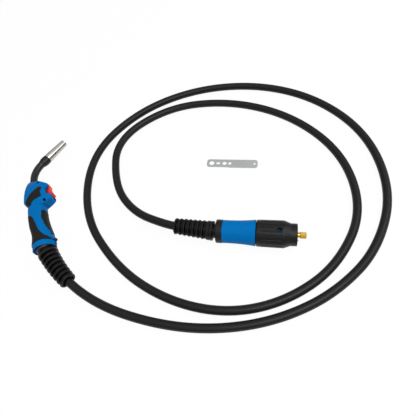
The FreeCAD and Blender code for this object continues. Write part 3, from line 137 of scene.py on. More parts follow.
class LeadSettings(bpy.types.PropertyGroup):
    """Sizes of the lead between torch and plug."""

    cable_diameter: bpy.props.FloatProperty(
        name="Cable diameter", description="Outside of the jacket", default=0.015, unit="LENGTH")
    cable_length: bpy.props.FloatProperty(
        name="Cable length", description="From the ball joint to the plug's ferrule",
        default=3.31, unit="LENGTH")
    jacket_colour: bpy.props.FloatVectorProperty(
        name="Jacket colour", description="Rubber of the jacket", subtype="COLOR", default=linear("#171718"))


class BootSettings(bpy.types.PropertyGroup):
    """Sizes of the two ribbed rubber boots."""

    grooves: bpy.props.IntProperty(name="Grooves", description="Grooves in each boot", default=7)
    groove_depth: bpy.props.FloatProperty(
        name="Groove depth", description="From a rib's crown to the groove's floor",
        default=0.0058, unit="LENGTH")
    web_share: bpy.props.FloatProperty(
        name="Web share", description="How far the webs at a rib's sides fill its groove", default=0.78)
    torch_web_angle: bpy.props.FloatProperty(
        name="Torch web angle", description="Turn of the two webs about the torch's boot",
        default=math.radians(-13), subtype="ANGLE")
    plug_web_angle: bpy.props.FloatProperty(
        name="Plug web angle", description="Turn of the two webs about the plug's boot",
        default=math.radians(-30), subtype="ANGLE")
    torch_start: bpy.props.FloatProperty(
        name="Torch boot start", description="From the ball's centre to the boot",
        default=0.0126, unit="LENGTH")
    torch_length: bpy.props.FloatProperty(
        name="Torch boot length", description="Along the cable", default=0.0726, unit="LENGTH")
    torch_front_radius: bpy.props.FloatProperty(
        name="Torch boot front radius", description="At the ball", default=0.0178, unit="LENGTH")
    torch_end_radius: bpy.props.FloatProperty(
        name="Torch boot end radius", description="At the cable", default=0.0145, unit="LENGTH")
    torch_pitch: bpy.props.FloatProperty(
        name="Torch boot pitch", description="From groove to groove", default=0.00915, unit="LENGTH")
    plug_length: bpy.props.FloatProperty(
        name="Plug boot length", description="Tail to shoulder", default=0.0696, unit="LENGTH")
    plug_tail_radius: bpy.props.FloatProperty(
        name="Plug boot tail radius", description="At the cable", default=0.0140, unit="LENGTH")
    plug_front_radius: bpy.props.FloatProperty(
        name="Plug boot front radius", description="At the collar", default=0.0170, unit="LENGTH")
    plug_pitch: bpy.props.FloatProperty(
        name="Plug boot pitch", description="From groove to groove", default=0.0081, unit="LENGTH")
    cable_grip: bpy.props.FloatProperty(
        name="Cable grip", description="Cable inside the plug's boot", default=0.026, unit="LENGTH")
    rubber_colour: bpy.props.FloatVectorProperty(
        name="Rubber colour", description="Moulded rubber", subtype="COLOR", default=linear("#161617"))


class HandleSettings(bpy.types.PropertyGroup):
    """Finish of the moulded handle."""

    edge: bpy.props.FloatProperty(
        name="Edge softening", description="Width of the moulded edges", default=0.0003, unit="LENGTH")
    dot_pitch: bpy.props.FloatProperty(
        name="Dot pitch", description="Between the raised dots on the guard", default=0.0019, unit="LENGTH")
    dot_radius: bpy.props.FloatProperty(
        name="Dot radius", description="Radius of one raised dot", default=0.00058, unit="LENGTH")
    dot_height: bpy.props.FloatProperty(
        name="Dot height", description="Height of one raised dot", default=0.00028, unit="LENGTH")
    shell_colour: bpy.props.FloatVectorProperty(
        name="Shell colour", description="Blue nylon", subtype="COLOR", default=linear("#0068AC"))
    inlay_colour: bpy.props.FloatVectorProperty(
        name="Inlay colour", description="Soft-touch inlays", subtype="COLOR", default=linear("#201F1C"))
    trigger_colour: bpy.props.FloatVectorProperty(
        name="Trigger colour", description="Red nylon", subtype="COLOR", default=linear("#EE3A2A"))
    latch_colour: bpy.props.FloatVectorProperty(
        name="Latch colour", description="Navy acetal", subtype="COLOR", default=linear("#081B4A"))


class PlugSettings(bpy.types.PropertyGroup):
    """Finish of the machine plug and of the metal pieces."""

    edge: bpy.props.FloatProperty(
        name="Edge softening", description="Width of the moulded edges", default=0.0004, unit="LENGTH")
    nut_colour: bpy.props.FloatVectorProperty(
        name="Nut colour", description="Black glass-filled nylon", subtype="COLOR", default=linear("#121212"))
    brass_colour: bpy.props.FloatVectorProperty(
        name="Brass colour", description="Turned brass", subtype="COLOR", default=linear("#F0BE55"))
    nickel_colour: bpy.props.FloatVectorProperty(
        name="Nickel colour", description="Plated nozzle", subtype="COLOR", default=linear("#C2BEB9"))
    zinc_colour: bpy.props.FloatVectorProperty(
        name="Zinc colour", description="Plated spanner", subtype="COLOR", default=linear("#BBBEBD"))


class StageSettings(bpy.types.PropertyGroup):
    """Camera and light."""

    lens: bpy.props.FloatProperty(
        name="Lens", description="Focal length in millimetres on a 36 mm frame", default=33.863)
    key_power: bpy.props.FloatProperty(
        name="Key light", description="Large soft light, front right", default=17.0, subtype="POWER")
    fill_power: bpy.props.FloatProperty(
        name="Fill light", description="Soft light from the right", default=5.0, subtype="POWER")
    ambient: bpy.props.FloatProperty(name="Ambient", description="World light on the object", default=0.62)


# Materials

def add_node(tree, kind, sockets=None, **settings):
    """Add a shader node with its settings; sockets maps an input to a value or to another node's output."""
    node = tree.nodes.new("ShaderNode" + kind)
    for name, value in settings.items():
        setattr(node, name, value)
    for name, value in (sockets or {}).items():
        if isinstance(value, bpy.types.NodeSocket):
            tree.links.new(value, node.inputs[name])
        else:
            node.inputs[name].default_value = value
    return node


def blank_material(name):
    """New material with a bare principled shader; returns it with its tree and shader."""
    material = bpy.data.materials.new(name)
    material.use_nodes = True
    tree = material.node_tree
    return material, tree, tree.nodes["Principled BSDF"]


def per_grain(millimetres):
    """Texture scale for a grain of that size, in object coordinates."""
    return 1 / (millimetres * MILLIMETRE)


def mottled(tree, colour, coordinates, patch, spread):
    """Colour that drifts a little lighter and darker over patches of a size in millimetres."""
    noise = add_node(tree, "TexNoise", {
        "Vector": coordinates, "Scale": per_grain(patch), "Detail": 3.0, "Roughness": 0.55})
    low = tuple(part * (1 - spread) for part in colour) + (1,)
    high = tuple(min(part * (1 + spread), 1) for part in colour) + (1,)
    return add_node(tree, "Mix", {
        "Factor": noise.outputs["Fac"], "A": low, "B": high}, data_type="RGBA").outputs["Result"]


def painted_hollow_shade(tree, colour, reach):
    """Painted shade: colour that darkens towards black in holes and grooves, within a reach in millimetres.
    """
    open_sky = add_node(tree, "AmbientOcclusion", {"Distance": reach * MILLIMETRE}, samples=6)
    share = add_node(tree, "Math", {0: open_sky.outputs["AO"], 1: 2.0}, operation="POWER")
    return add_node(tree, "Mix", {
        "Factor": share.outputs["Value"], "A": (0, 0, 0, 1), "B": colour}, data_type="RGBA").outputs["Result"]


def textured(tree, shader, pattern, smooth, rough, bump, depth):
    """Let a pattern drive the roughness between two values, and a relief with a depth in millimetres."""
    sheen = add_node(tree, "MapRange", {
        "Value": pattern, "From Min": NOISE_LOW, "From Max": NOISE_HIGH, "To Min": smooth, "To Max": rough})
    tree.links.new(sheen.outputs["Result"], shader.inputs["Roughness"])
    relief = add_node(tree, "Bump", {"Height": pattern, "Strength": bump, "Distance": depth * MILLIMETRE})
    tree.links.new(relief.outputs["Normal"], shader.inputs["Normal"])


def moulded(name, colour, roughness, grain, bump, spread=0.08, specular=0.5, shade_reach=5.0):
    """Moulded polymer: an even colour with painted shade that darkens it in holes and grooves, and the fine
    grain that the tool's spark-eroded face leaves. Grain and the reach of the painted shade are in
    millimetres."""
    material, tree, shader = blank_material(name)
    place = add_node(tree, "TexCoord").outputs["Object"]
    shader.inputs["Specular IOR Level"].default_value = specular
    even = mottled(tree, colour, place, patch=14.0, spread=spread)
    # Painted shade: the even colour darkens in holes and grooves
    tree.links.new(painted_hollow_shade(tree, even, shade_reach), shader.inputs["Base Color"])
    skin = add_node(tree, "TexNoise", {"Vector": place, "Scale": per_grain(grain), "Detail": 4.0})
    textured(tree, shader, skin.outputs["Fac"], roughness - 0.05, roughness + 0.05, bump, depth=0.1)
    return material


def machined(name, colour, centre, axis, roughness, ring_pitch, bump):
    """Lathe-turned metal: fine tool marks, a pitch in millimetres apart, run round the axis and break the
    highlight across it."""
    material, tree, shader = blank_material(name)
    shader.inputs["Metallic"].default_value = 1.0
    place = add_node(tree, "TexCoord").outputs["Object"]
    offset = add_node(tree, "VectorMath", {0: place, 1: centre}, operation="SUBTRACT").outputs["Vector"]
    along = add_node(tree, "VectorMath", {0: offset, 1: axis}, operation="DOT_PRODUCT").outputs["Value"]
    stretched = add_node(tree, "CombineXYZ", {"X": along})
    marks = add_node(tree, "TexNoise", {
        "Vector": stretched.outputs["Vector"], "Scale": per_grain(ring_pitch), "Detail": 3.0})
    even = mottled(tree, colour, place, patch=9.0, spread=0.07)
    # Painted shade: the metal's colour darkens in its holes and grooves
    tree.links.new(painted_hollow_shade(tree, even, reach=3.0), shader.inputs["Base Color"])
    textured(tree, shader, marks.outputs["Fac"], roughness * 0.7, roughness * 1.4, bump, depth=0.05)
    return material


def brushed(name, colour, roughness, heading):
    """Rolled and tumbled sheet, zinc plated: soft streaks along its heading and a dull, even shine."""
    material, tree, shader = blank_material(name)
    shader.inputs["Metallic"].default_value = 0.85
    place = add_node(tree, "TexCoord").outputs["Object"]
    drawn_out = add_node(tree, "Mapping", {
        "Vector": place, "Rotation": (0, 0, -heading), "Scale": (0.06, 1.0, 1.0)})
    streaks = add_node(tree, "TexNoise", {
        "Vector": drawn_out.outputs["Vector"], "Scale": per_grain(0.9), "Detail": 4.0})
    tree.links.new(mottled(tree, colour, place, patch=25.0, spread=0.06), shader.inputs["Base Color"])
    textured(tree, shader, streaks.outputs["Fac"], roughness - 0.08, roughness + 0.1, bump=0.25, depth=0.05)
    return material


# Shapes

def shade(piece, angle=35):
    """Smooth shading that keeps edges sharper than an angle."""
    for polygon in piece.data.polygons:
        polygon.use_smooth = True
    piece.data.set_sharp_from_angle(angle=math.radians(angle))


def dress(names, material, edge=0.0):
    """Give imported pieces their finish, smooth shading and softened edges."""
    for name in names:
        piece = NODES[name]
        for slot in piece.material_slots:
            slot.material = material
        shade(piece)
        if edge:
            soften = piece.modifiers.new("Softened edges", "BEVEL")
            soften.width = edge
            soften.segments = 2
            soften.limit_method = "ANGLE"
            soften.angle_limit = math.radians(40)
            soften.harden_normals = True


def add_mesh(name, vertices, faces, material):
    """New shaded mesh piece."""
    mesh = bpy.data.meshes.new(name)
    mesh.from_pydata(vertices, [], faces)
    mesh.materials.append(material)
    mesh.update()
    piece = bpy.data.objects.new(name, mesh)
    bpy.context.scene.collection.objects.link(piece)
    shade(piece)
    return piece


def circle(side, above, segments):
    """Directions round a circle, each with its angle."""
    for index in range(segments):
        angle = 2 * math.pi * index / segments
        yield angle, side * math.cos(angle) + above * math.sin(angle)


def ring_faces(rings, segments, looped=False):
    """Faces that join each ring of points to the next one, and the last to the first if looped."""
    faces = []
    for ring in range(rings if looped else rings - 1):
        low, high = ring * segments, (ring + 1) % rings * segments
        for index in range(segments):
            after = (index + 1) % segments
            faces.append((low + index, high + index, high + after, low + after))
    return faces


def turned(name, place, axis, profile, material, segments=64, hollow=False):
    """Round piece about an axis from a profile of (distance, radius) in millimetres. A hollow one's profile
    goes out along its outside and back along its bore; any other one is closed by a face at each end."""
    side = axis.cross(UP).normalized()
    above = side.cross(axis)
    vertices = []
    for distance, radius in profile:
        for _, out in circle(side, above, segments):
            vertices.append(place + (axis * distance + out * radius) * MILLIMETRE)
    faces = ring_faces(len(profile), segments, looped=hollow)
    if not hollow:
        faces.append(tuple(range(segments)))
        faces.append(tuple(range(len(vertices) - 1, len(vertices) - segments - 1, -1)))
    return add_mesh(name, vertices, faces, material)


def ride(piece, body):
    """Hang a piece on the empty of the body that carries it."""
    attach(piece, body)
    return piece


def lead_curve(name):
    """The route as one smooth spline."""
    curve = bpy.data.curves.new(name, "CURVE")
    curve.dimensions = "3D"
    spline = curve.splines.new("NURBS")
    spline.points.add(len(ROUTE) - 1)
    for point, place in zip(spline.points, ROUTE):
        point.co = (*place, 1)
    spline.order_u = 3
    spline.use_endpoint_u = True
    spline.resolution_u = 16
    piece = bpy.data.objects.new(name, curve)
    bpy.context.scene.collection.objects.link(piece)
    return piece


def lead_points():
    """Points along the lead's middle line, read from its spline."""
    guide = lead_curve("lead_guide")
    mesh = bpy.data.meshes.new_from_object(guide)
    points = [vertex.co.copy() for vertex in mesh.vertices]
    bpy.data.meshes.remove(mesh)
    curve = guide.data
    bpy.data.objects.remove(guide)
    bpy.data.curves.remove(curve)
    return points


def frame_on(points, distance):
    """Place and direction on a line of points, at a distance from its start."""
    for start, end in zip(points, points[1:]):
        step = (end - start).length
        if distance <= step:
            break
        distance -= step
    tangent = (end - start).normalized()
    return start + tangent * distance, tangent


def swept_rings(name, points, profile, material, web_share, web_angle, segments=80):
    """Round piece along a line from a profile of (distance, radius, drop), where two webs fill the drop."""
    vertices = []
    for distance, radius, drop in profile:
        place, tangent = frame_on(points, distance)
        side = tangent.cross(UP).normalized()
        above = side.cross(tangent)
        for angle, out in circle(side, above, segments):
            web = web_share * abs(math.cos(angle - web_angle)) ** WEB_SHARPNESS
            vertices.append(place + out * (radius - drop * (1 - web)))
    return add_mesh(name, vertices, ring_faces(len(profile), segments), material)


def smooth_step(low, high, value):
    """0 below a range, 1 above it and a smooth rise between."""
    share = min(max((value - low) / (high - low), 0), 1)
    return share * share * (3 - 2 * share)


def rib_profile(first, pitch, count, depth, radius_at):
    """Profile of wide grooves with rounded shoulders between narrow ribs."""
    half = pitch * GROOVE_SHARE
    shares = (1.0, 0.94, 0.88, 0.82, 0.76, 0.7, 0.35)
    shares = [-share for share in shares] + [0] + list(reversed(shares))
    profile = []
    for groove in range(count):
        for share in shares:
            place = first + groove * pitch + share * half
            drop = depth * (1 - smooth_step(SHOULDER_START, 1.0, abs(share)))
            profile.append((place, radius_at(place), drop))
    return profile


def rounded_rim(place, radius, edge, side):
    """Quarter round at an end of a profile; side is 1 where the piece lies beyond the place."""
    steps = 5
    rim = []
    for step in range(steps + 1):
        angle = math.pi / 2 * step / steps
        if side < 0:
            angle = math.pi / 2 - angle
        reach = edge * (1 - math.cos(angle))
        rim.append((place + side * reach, radius - edge + edge * math.sin(angle), 0))
    return rim


def add_dome(vertices, faces, place, normal, radius, height):
    """Small raised dot, its rim sunk a little in the surface."""
    side = normal.orthogonal().normalized()
    across = normal.cross(side)
    first = len(vertices)
    count = 8
    rings = ((1.0, -0.2), (0.75, 0.6))
    for share, rise in rings:
        for _, out in circle(side, across, count):
            vertices.append(place + out * radius * share + normal * height * rise)
    vertices.append(place + normal * height)
    top = len(vertices) - 1
    for index in range(count):
        after = (index + 1) % count
        faces.append((first + index, first + after, first + count + after, first + count + index))
        faces.append((first + count + index, first + count + after, top))


# Pieces

class TORCH_OT_lead(bpy.types.Operator):
    """Lay the cable along its route"""

    bl_idname = "torch.lead"
    bl_label = "Lead"

    def execute(self, context):
        sizes = context.scene.torch_lead
        # Extruded chlorinated rubber: black and dull, with a broad soft highlight along its top
        jacket = moulded(
            "Extruded rubber jacket", sizes.jacket_colour, roughness=0.36, grain=1.6, bump=0.25, spread=0.15,
            specular=0.2)
        cable = lead_curve("lead_cable")
        cable.data.bevel_depth = sizes.cable_diameter / 2
        cable.data.bevel_resolution = 10
        cable.data.use_fill_caps = True
        cable.data.materials.append(jacket)
        ride(cable, "lead")
        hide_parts("torch_cable")
        return {"FINISHED"}


class TORCH_OT_boots(bpy.types.Operator):
    """Mould the ribbed boots at the torch and at the plug"""

    bl_idname = "torch.boots"
    bl_label = "Boots"

    def execute(self, context):
        sizes = context.scene.torch_boots
        # Moulded natural rubber: black with a faint bloom, and ribs whose crowns catch a soft light
        # Painted shade blackens the grooves between the ribs, over a reach of 9 mm
        rubber = moulded(
            "Moulded rubber", sizes.rubber_colour, roughness=0.38, grain=1.2, bump=0.3, spread=0.12,
            specular=0.2, shade_reach=9.0)
        self.torch_boot(sizes, rubber)
        self.plug_boot(sizes, rubber)
        return {"FINISHED"}

    def torch_boot(self, sizes, rubber):
        """Boot that follows the cable's bend from the ball to an open mouth."""
        start, length = sizes.torch_start, sizes.torch_length
        end = start + length
        taper = (sizes.torch_end_radius - sizes.torch_front_radius) / length

        def radius_at(distance):
            return sizes.torch_front_radius + (distance - start) * taper

        front_edge, end_edge, lip = 5.0 * MILLIMETRE, 1.9 * MILLIMETRE, 0.6 * MILLIMETRE
        mouth, cable = 10.8 * MILLIMETRE, 7.3 * MILLIMETRE
        inside = end - 4 * MILLIMETRE
        first = start + 11.7 * MILLIMETRE
        profile = [(start, cable, 0)] + rounded_rim(start, radius_at(start), front_edge, 1)
        profile += rib_profile(first, sizes.torch_pitch, sizes.grooves, sizes.groove_depth, radius_at)
        profile += rounded_rim(end, radius_at(end), end_edge, -1)
        profile += [(end, mouth + lip, 0), (end - lip, mouth, 0), (inside, mouth, 0), (inside, cable, 0)]
        boot = swept_rings(
            "ribbed_torch_boot", lead_points(), profile, rubber, sizes.web_share, sizes.torch_web_angle)
        ride(boot, "lead")
        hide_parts("torch_boot")

    def plug_boot(self, sizes, rubber):
        """Boot from an open mouth on the cable to the plug's collar, with a slight bend where they meet."""
        length = sizes.plug_length
        taper = (sizes.plug_front_radius - sizes.plug_tail_radius) / length

        def radius_at(distance):
            return sizes.plug_tail_radius + distance * taper

        lip, hole, cable = 9.3 * MILLIMETRE, 8.4 * MILLIMETRE, 7.3 * MILLIMETRE
        inside, cone = 4 * MILLIMETRE, 3.0 * MILLIMETRE
        first = 7.6 * MILLIMETRE
        waist, waist_width, waist_depth = 65 * MILLIMETRE, 4 * MILLIMETRE, 1.2 * MILLIMETRE
        front_edge, neck, neck_length = 1.2 * MILLIMETRE, 12.2 * MILLIMETRE, 8 * MILLIMETRE
        profile = [
            (inside, cable, 0), (inside, hole, 0), (0, hole, 0), (0, lip, 0),
            (cone / 2, radius_at(0) - 0.8 * MILLIMETRE, 0), (cone * 0.8, radius_at(0) + 0.1 * MILLIMETRE, 0)]
        profile += rib_profile(first, sizes.plug_pitch, sizes.grooves, sizes.groove_depth, radius_at)
        profile += rib_profile(waist, waist_width, 1, waist_depth, radius_at)
        profile += rounded_rim(length, radius_at(length), front_edge, -1)
        profile += [(length, neck, 0), (length + neck_length, neck, 0)]
        tail = PLUG_END - BOOT_AXIS * sizes.cable_grip
        bend = tail + BOOT_AXIS * length
        points = [tail, bend, bend + PLUG_AXIS * length]
        boot = swept_rings(
            "ribbed_plug_boot", points, profile, rubber, sizes.web_share, sizes.plug_web_angle)
        ride(boot, "lead")
        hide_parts("plug_boot")


class TORCH_OT_handle(bpy.types.Operator):
    """Finish the moulded handle, its inlays and its trigger"""

    bl_idname = "torch.handle"
    bl_label = "Handle"

    def execute(self, context):
        sizes = context.scene.torch_handle
        # Glass-filled nylon 6, injection moulded in blue: satin, with a faint leather grain
        # Painted shade darkens the holes and grooves of the blue, over a reach of 8 mm
        shell = moulded(
            "Blue moulded nylon", sizes.shell_colour, roughness=0.42, grain=1.1, bump=0.3, spread=0.05,
            specular=0.04, shade_reach=8.0)
        dress(["handle_shell_upper", "handle_shell_lower", "socket_ring"], shell, sizes.edge)
        # Thermoplastic elastomer moulded over the shell: charcoal, matt and dry
        inlay = moulded(
            "Soft-touch elastomer", sizes.inlay_colour, roughness=0.62, grain=0.9, bump=0.5, spread=0.1,
            specular=0.1)
        dress(INLAY_PIECES, inlay, sizes.edge)
        # Nylon 66 moulded in red: smoother than the shell, polished by the finger
        red = moulded(
            "Red moulded nylon", sizes.trigger_colour, roughness=0.34, grain=1.4, bump=0.12, spread=0.04,
            specular=0.12)
        dress(["trigger"], red, sizes.edge)
        dress(["switch_plunger"], red)
        # Steel screws in a black oxide coat: dull and dark, deep in their holes
        black_steel = moulded("Black oxide steel", linear("#1B1C20"), roughness=0.4, grain=0.8, bump=0.2)
        dress(["handle_screws"], black_steel)
        # Glass-filled nylon moulded in black: plain and dull
        housing = moulded("Black moulded housing", linear("#1E1E1F"), roughness=0.5, grain=1.0, bump=0.2)
        dress(["microswitch", "ball_sleeve"], housing)
        self.guard_dots(sizes, shell)
        # Moulded acetal: navy and slick, darker than the shell
        acetal = moulded("Navy acetal", sizes.latch_colour, roughness=0.3, grain=1.0, bump=0.1, specular=0.2)
        self.latch(acetal)
        return {"FINISHED"}

    def latch(self, acetal):
        """Latch lug that stands out at the handle's rear."""
        ride(turned("latch_lug", BALL + LUG_PLACE, LUG_OUT, LUG, acetal), "handle")

    def guard_dots(self, sizes, shell):
        """Raised dots on the guard's flat face below the trigger, each seated on the shell."""
        depsgraph = bpy.context.evaluated_depsgraph_get()
        for word, side in (("upper", 1), ("lower", -1)):
            tree = BVHTree.FromObject(NODES["handle_shell_" + word], depsgraph)
            vertices, faces = [], []
            for row in range(DOT_ROWS):
                for column in range(-DOT_COLUMNS, DOT_COLUMNS + 1):
                    height = side * (row + 0.5) * sizes.dot_pitch * ROW_STEP
                    shift = (column + 0.5 * (row % 2)) * sizes.dot_pitch
                    start = BALL + GUARD_MIDDLE + GUARD_ALONG * shift + UP * height + GUARD_OUT * 0.01
                    place, normal, _, _ = tree.ray_cast(start, -GUARD_OUT, 0.02)
                    on_flat_face = place is not None and normal.dot(GUARD_OUT) > 0.97
                    if on_flat_face:
                        add_dome(vertices, faces, place, normal, sizes.dot_radius, sizes.dot_height)
            piece = add_mesh("guard_dots_" + word, vertices, faces, shell)
            ride(piece, "handle")


class TORCH_OT_neck(bpy.types.Operator):
    """Finish the swan neck, its collar, the nozzle and the contact tip"""

    bl_idname = "torch.neck"
    bl_label = "Neck"

    def execute(self, context):
        sizes = context.scene.torch_plug
        low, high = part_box("gas_nozzle")
        axis = Vector((math.cos(NOZZLE_HEADING), math.sin(NOZZLE_HEADING), 0))
        centre = (Vector(low) + Vector(high)) / 2
        # Heat-shrunk polyolefin sleeve: black and smooth, brighter than the cable
        sleeve = moulded(
            "Shrunk neck sleeve", linear("#151516"), roughness=0.28, grain=2.0, bump=0.15, spread=0.1,
            specular=0.4)
        dress(["neck_jacket"], sleeve)
        # Pressed phenolic resin: black, with a low gloss
        phenolic = moulded(
            "Pressed phenolic", linear("#131313"), roughness=0.34, grain=1.5, bump=0.2, specular=0.3)
        dress(["neck_insulator"], phenolic, sizes.edge)
        # Turned copper, nickel plated: bright, with fine tool marks round it
        nickel = machined(
            "Nickel-plated nozzle", sizes.nickel_colour, centre, axis, roughness=0.17, ring_pitch=0.7,
            bump=0.25)
        self.nozzle(nickel, axis)
        # Turned brass: yellow, bright
        brass = machined(
            "Turned brass holder", sizes.brass_colour, centre, axis, roughness=0.25, ring_pitch=0.6, bump=0.3)
        dress(["tip_holder", "swan_neck", "neck_fitting"], brass)
        # Turned copper-chromium: reddish, bright
        copper = machined(
            "Copper contact tip", linear("#C9794B"), centre, axis, roughness=0.28, ring_pitch=0.6, bump=0.3)
        dress(["contact_tip"], copper)
        # Extruded rubber: black and dull
        hose = moulded("Inner hose rubber", linear("#1C1C1D"), roughness=0.5, grain=1.5, bump=0.2)
        dress(["inner_hose"], hose)
        # Ground steel: grey, with fine rings
        steel = machined(
            "Ground steel pin", linear("#B9BABB"), centre, UP, roughness=0.25, ring_pitch=0.6, bump=0.2)
        dress(["trigger_pin"], steel)
        # Stamped brass, tin dipped: pale and even
        tin = moulded("Tinned switch tab", linear("#B8B6B0"), roughness=0.35, grain=1.0, bump=0.1)
        dress(["switch_tabs"], tin)
        return {"FINISHED"}

    def nozzle(self, nickel, axis):
        """Tapered nozzle, bored through, with the small gas hole low on its side."""
        base = BALL + NOZZLE_BASE
        nozzle = turned(
            "tapered_nozzle", base, axis, NOZZLE_OUTSIDE + NOZZLE_BORE, nickel, segments=96, hollow=True)
        hole = base + axis * HOLE_ALONG * MILLIMETRE
        out = (axis.cross(UP) + UP * HOLE_RISE).normalized()
        drill = turned("gas_hole_drill", hole, out, [(reach, HOLE_RADIUS) for reach in HOLE_REACH], nickel)
        cut = nozzle.modifiers.new("Gas hole", "BOOLEAN")
        cut.operation = "DIFFERENCE"
        cut.solver = "EXACT"
        cut.object = drill
        bpy.context.view_layer.update()
        drilled = nozzle.evaluated_get(bpy.context.evaluated_depsgraph_get())
        undrilled, drill_mesh = nozzle.data, drill.data
        nozzle.data = bpy.data.meshes.new_from_object(drilled)
        nozzle.modifiers.clear()
        bpy.data.objects.remove(drill)
        bpy.data.meshes.remove(drill_mesh)
        bpy.data.meshes.remove(undrilled)
        shade(nozzle)
        ride(nozzle, "nozzle")
        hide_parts("gas_nozzle")


class TORCH_OT_plug(bpy.types.Operator):
    """Finish the machine plug"""

    bl_idname = "torch.plug"
    bl_label = "Plug"

    def execute(self, context):
        sizes = context.scene.torch_plug
        blue = bpy.data.materials["Blue moulded nylon"]
        dress(["plug_sleeve"], blue, sizes.edge)
        # Glass-filled nylon 66 from a spark-eroded tool: black and dry, with a fine sparkle from the grain
        nylon = moulded(
            "Black glass-filled nylon", sizes.nut_colour, roughness=0.4, grain=1.0, bump=0.45, spread=0.12,
            specular=0.25)
        dress(["plug_nut", "plug_collar", "plug_face"], nylon, sizes.edge)
        # Free-cutting brass, turned and left bright
        brass = machined(
            "Bright turned brass", sizes.brass_colour, PLUG_END, PLUG_AXIS, roughness=0.2, ring_pitch=0.6,
            bump=0.3)
        dress(BRASS_PIECES, brass)
        # Moulded nitrile rubber: black, with a low gloss
        seal = moulded("Nitrile seal", linear("#151515"), roughness=0.35, grain=1.2, bump=0.1)
        dress(["nose_ring"], seal)
        # Drawn steel wire, wound: dull grey, with close rings
        liner = machined(
            "Drawn steel liner", linear("#8E8F90"), PLUG_END, PLUG_AXIS, roughness=0.3, ring_pitch=0.9,
            bump=0.6)
        dress(["wire_liner"], liner)
        return {"FINISHED"}


class TORCH_OT_spanner(bpy.types.Operator):
    """Finish the tip spanner"""

    bl_idname = "torch.spanner"
    bl_label = "Spanner"

    def execute(self, context):
        sizes = context.scene.torch_plug
        # Stamped steel, zinc plated: pale grey and dull, with soft streaks along it
        zinc = brushed("Zinc-plated sheet", sizes.zinc_colour, roughness=0.42, heading=SPANNER_HEADING)
        dress(["tip_spanner"], zinc, 0.25 * MILLIMETRE)
        return {"FINISHED"}


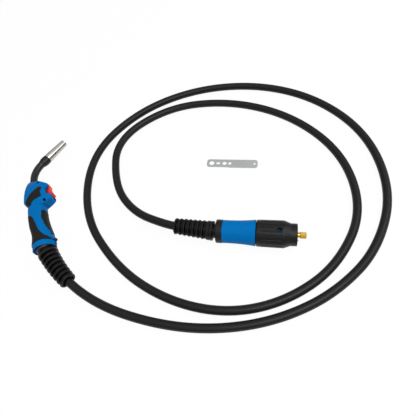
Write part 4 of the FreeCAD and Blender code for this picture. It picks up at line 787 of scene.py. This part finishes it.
class TORCH_OT_stage(bpy.types.Operator):
    """Set the floor, the light and the camera"""

    bl_idname = "torch.stage"
    bl_label = "Stage"

    def execute(self, context):
        sizes = context.scene.torch_stage
        self.floor()
        self.world(context.scene, sizes.ambient)
        for name, place, aim, width, setting in LAMPS:
            self.lamp(name, place, aim, width, getattr(sizes, setting))
        self.camera(context.scene, sizes.lens)
        context.scene.view_settings.view_transform = "Standard"
        return {"FINISHED"}

    def floor(self):
        """White paper that keeps the shadow, and is white itself to the camera and in reflections."""
        material, tree, shader = blank_material("Paper sweep")
        shader.inputs["Base Color"].default_value = (0.9, 0.9, 0.9, 1)
        shader.inputs["Roughness"].default_value = 0.9
        path = add_node(tree, "LightPath")
        seen = add_node(tree, "Math", {
            0: path.outputs["Is Camera Ray"], 1: path.outputs["Is Glossy Ray"]}, operation="MAXIMUM")
        seen = add_node(tree, "Math", {
            0: seen.outputs["Value"], 1: path.outputs["Is Transmission Ray"]}, operation="MAXIMUM")
        share = add_node(tree, "Math", {0: seen.outputs["Value"], 1: 0.95}, operation="MULTIPLY")
        glow = add_node(tree, "Emission", {"Color": (1, 1, 1, 1), "Strength": 1.0})
        mixed = add_node(tree, "MixShader", {
            0: share.outputs["Value"], 1: shader.outputs["BSDF"], 2: glow.outputs["Emission"]})
        tree.links.new(mixed.outputs["Shader"], tree.nodes["Material Output"].inputs["Surface"])
        half, level = 6.0, -0.05 * MILLIMETRE
        corners = [(-half, -half, level), (half, -half, level), (half, half, level), (-half, half, level)]
        floor = add_mesh("paper_floor", corners, [(0, 1, 2, 3)], material)

    def world(self, scene, ambient):
        """White to the camera; on the object a room that is brighter overhead than at its walls."""
        world = bpy.data.worlds.new("Soft room")
        scene.world = world
        world.use_nodes = True
        tree = world.node_tree
        height = add_node(tree, "SeparateXYZ", {"Vector": add_node(tree, "TexCoord").outputs["Generated"]})
        level = add_node(tree, "MapRange", {
            "Value": height.outputs["Z"], "From Min": 0.1, "From Max": 1.0,
            "To Min": ambient * 0.45, "To Max": ambient * 1.35}, interpolation_type="SMOOTHSTEP")
        light = tree.nodes["Background"]
        light.inputs["Color"].default_value = (1, 1, 1, 1)
        tree.links.new(level.outputs["Result"], light.inputs["Strength"])
        path = add_node(tree, "LightPath")
        backdrop = add_node(tree, "Background", {"Color": (1, 1, 1, 1), "Strength": 1.0})
        mixed = add_node(tree, "MixShader", {
            0: path.outputs["Is Camera Ray"], 1: light.outputs["Background"],
            2: backdrop.outputs["Background"]})
        tree.links.new(mixed.outputs["Shader"], tree.nodes["World Output"].inputs["Surface"])

    def lamp(self, name, place, aim, width, power):
        """Square soft light."""
        light = bpy.data.lights.new(name, "AREA")
        light.size = width
        light.energy = power
        lamp = bpy.data.objects.new(name, light)
        lamp.location = place
        lamp.rotation_euler = (Vector(aim) - Vector(place)).to_track_quat("-Z", "Y").to_euler()
        bpy.context.scene.collection.objects.link(lamp)

    def camera(self, scene, lens):
        """Camera that stands where the photograph was taken."""
        data = bpy.data.cameras.new("photograph_camera")
        data.lens = lens
        camera = bpy.data.objects.new("photograph_camera", data)
        turn = Matrix((CAMERA_RIGHT, CAMERA_TOP, CAMERA_BACK)).transposed().to_4x4()
        camera.matrix_world = Matrix.Translation(CAMERA_PLACE) @ turn
        scene.collection.objects.link(camera)
        scene.camera = camera


PIECES = [
    TORCH_OT_boots, TORCH_OT_lead, TORCH_OT_handle, TORCH_OT_neck, TORCH_OT_plug, TORCH_OT_spanner,
    TORCH_OT_stage,
]


class TORCH_PT_pieces(bpy.types.Panel):
    """Lists the torch's pieces"""

    bl_label = "Torch"
    bl_space_type = "VIEW_3D"
    bl_region_type = "UI"
    bl_category = "Torch"

    def draw(self, context):
        for piece in PIECES:
            self.layout.operator(piece.bl_idname, text=piece.bl_label)


SETTINGS = {
    "torch_lead": LeadSettings,
    "torch_boots": BootSettings,
    "torch_handle": HandleSettings,
    "torch_plug": PlugSettings,
    "torch_stage": StageSettings,
}


def register():
    for kind in [*SETTINGS.values(), *PIECES, TORCH_PT_pieces]:
        bpy.utils.register_class(kind)
    for name, kind in SETTINGS.items():
        setattr(bpy.types.Scene, name, bpy.props.PointerProperty(type=kind))


def unregister():
    for name in SETTINGS:
        delattr(bpy.types.Scene, name)
    for kind in [TORCH_PT_pieces, *reversed(PIECES), *SETTINGS.values()]:
        bpy.utils.unregister_class(kind)


def main():
    """Build every piece."""
    register()
    bpy.ops.torch.boots()
    bpy.ops.torch.lead()
    bpy.ops.torch.handle()
    bpy.ops.torch.neck()
    bpy.ops.torch.plug()
    bpy.ops.torch.spanner()
    bpy.ops.torch.stage()


if __name__ == "__main__":
    main()
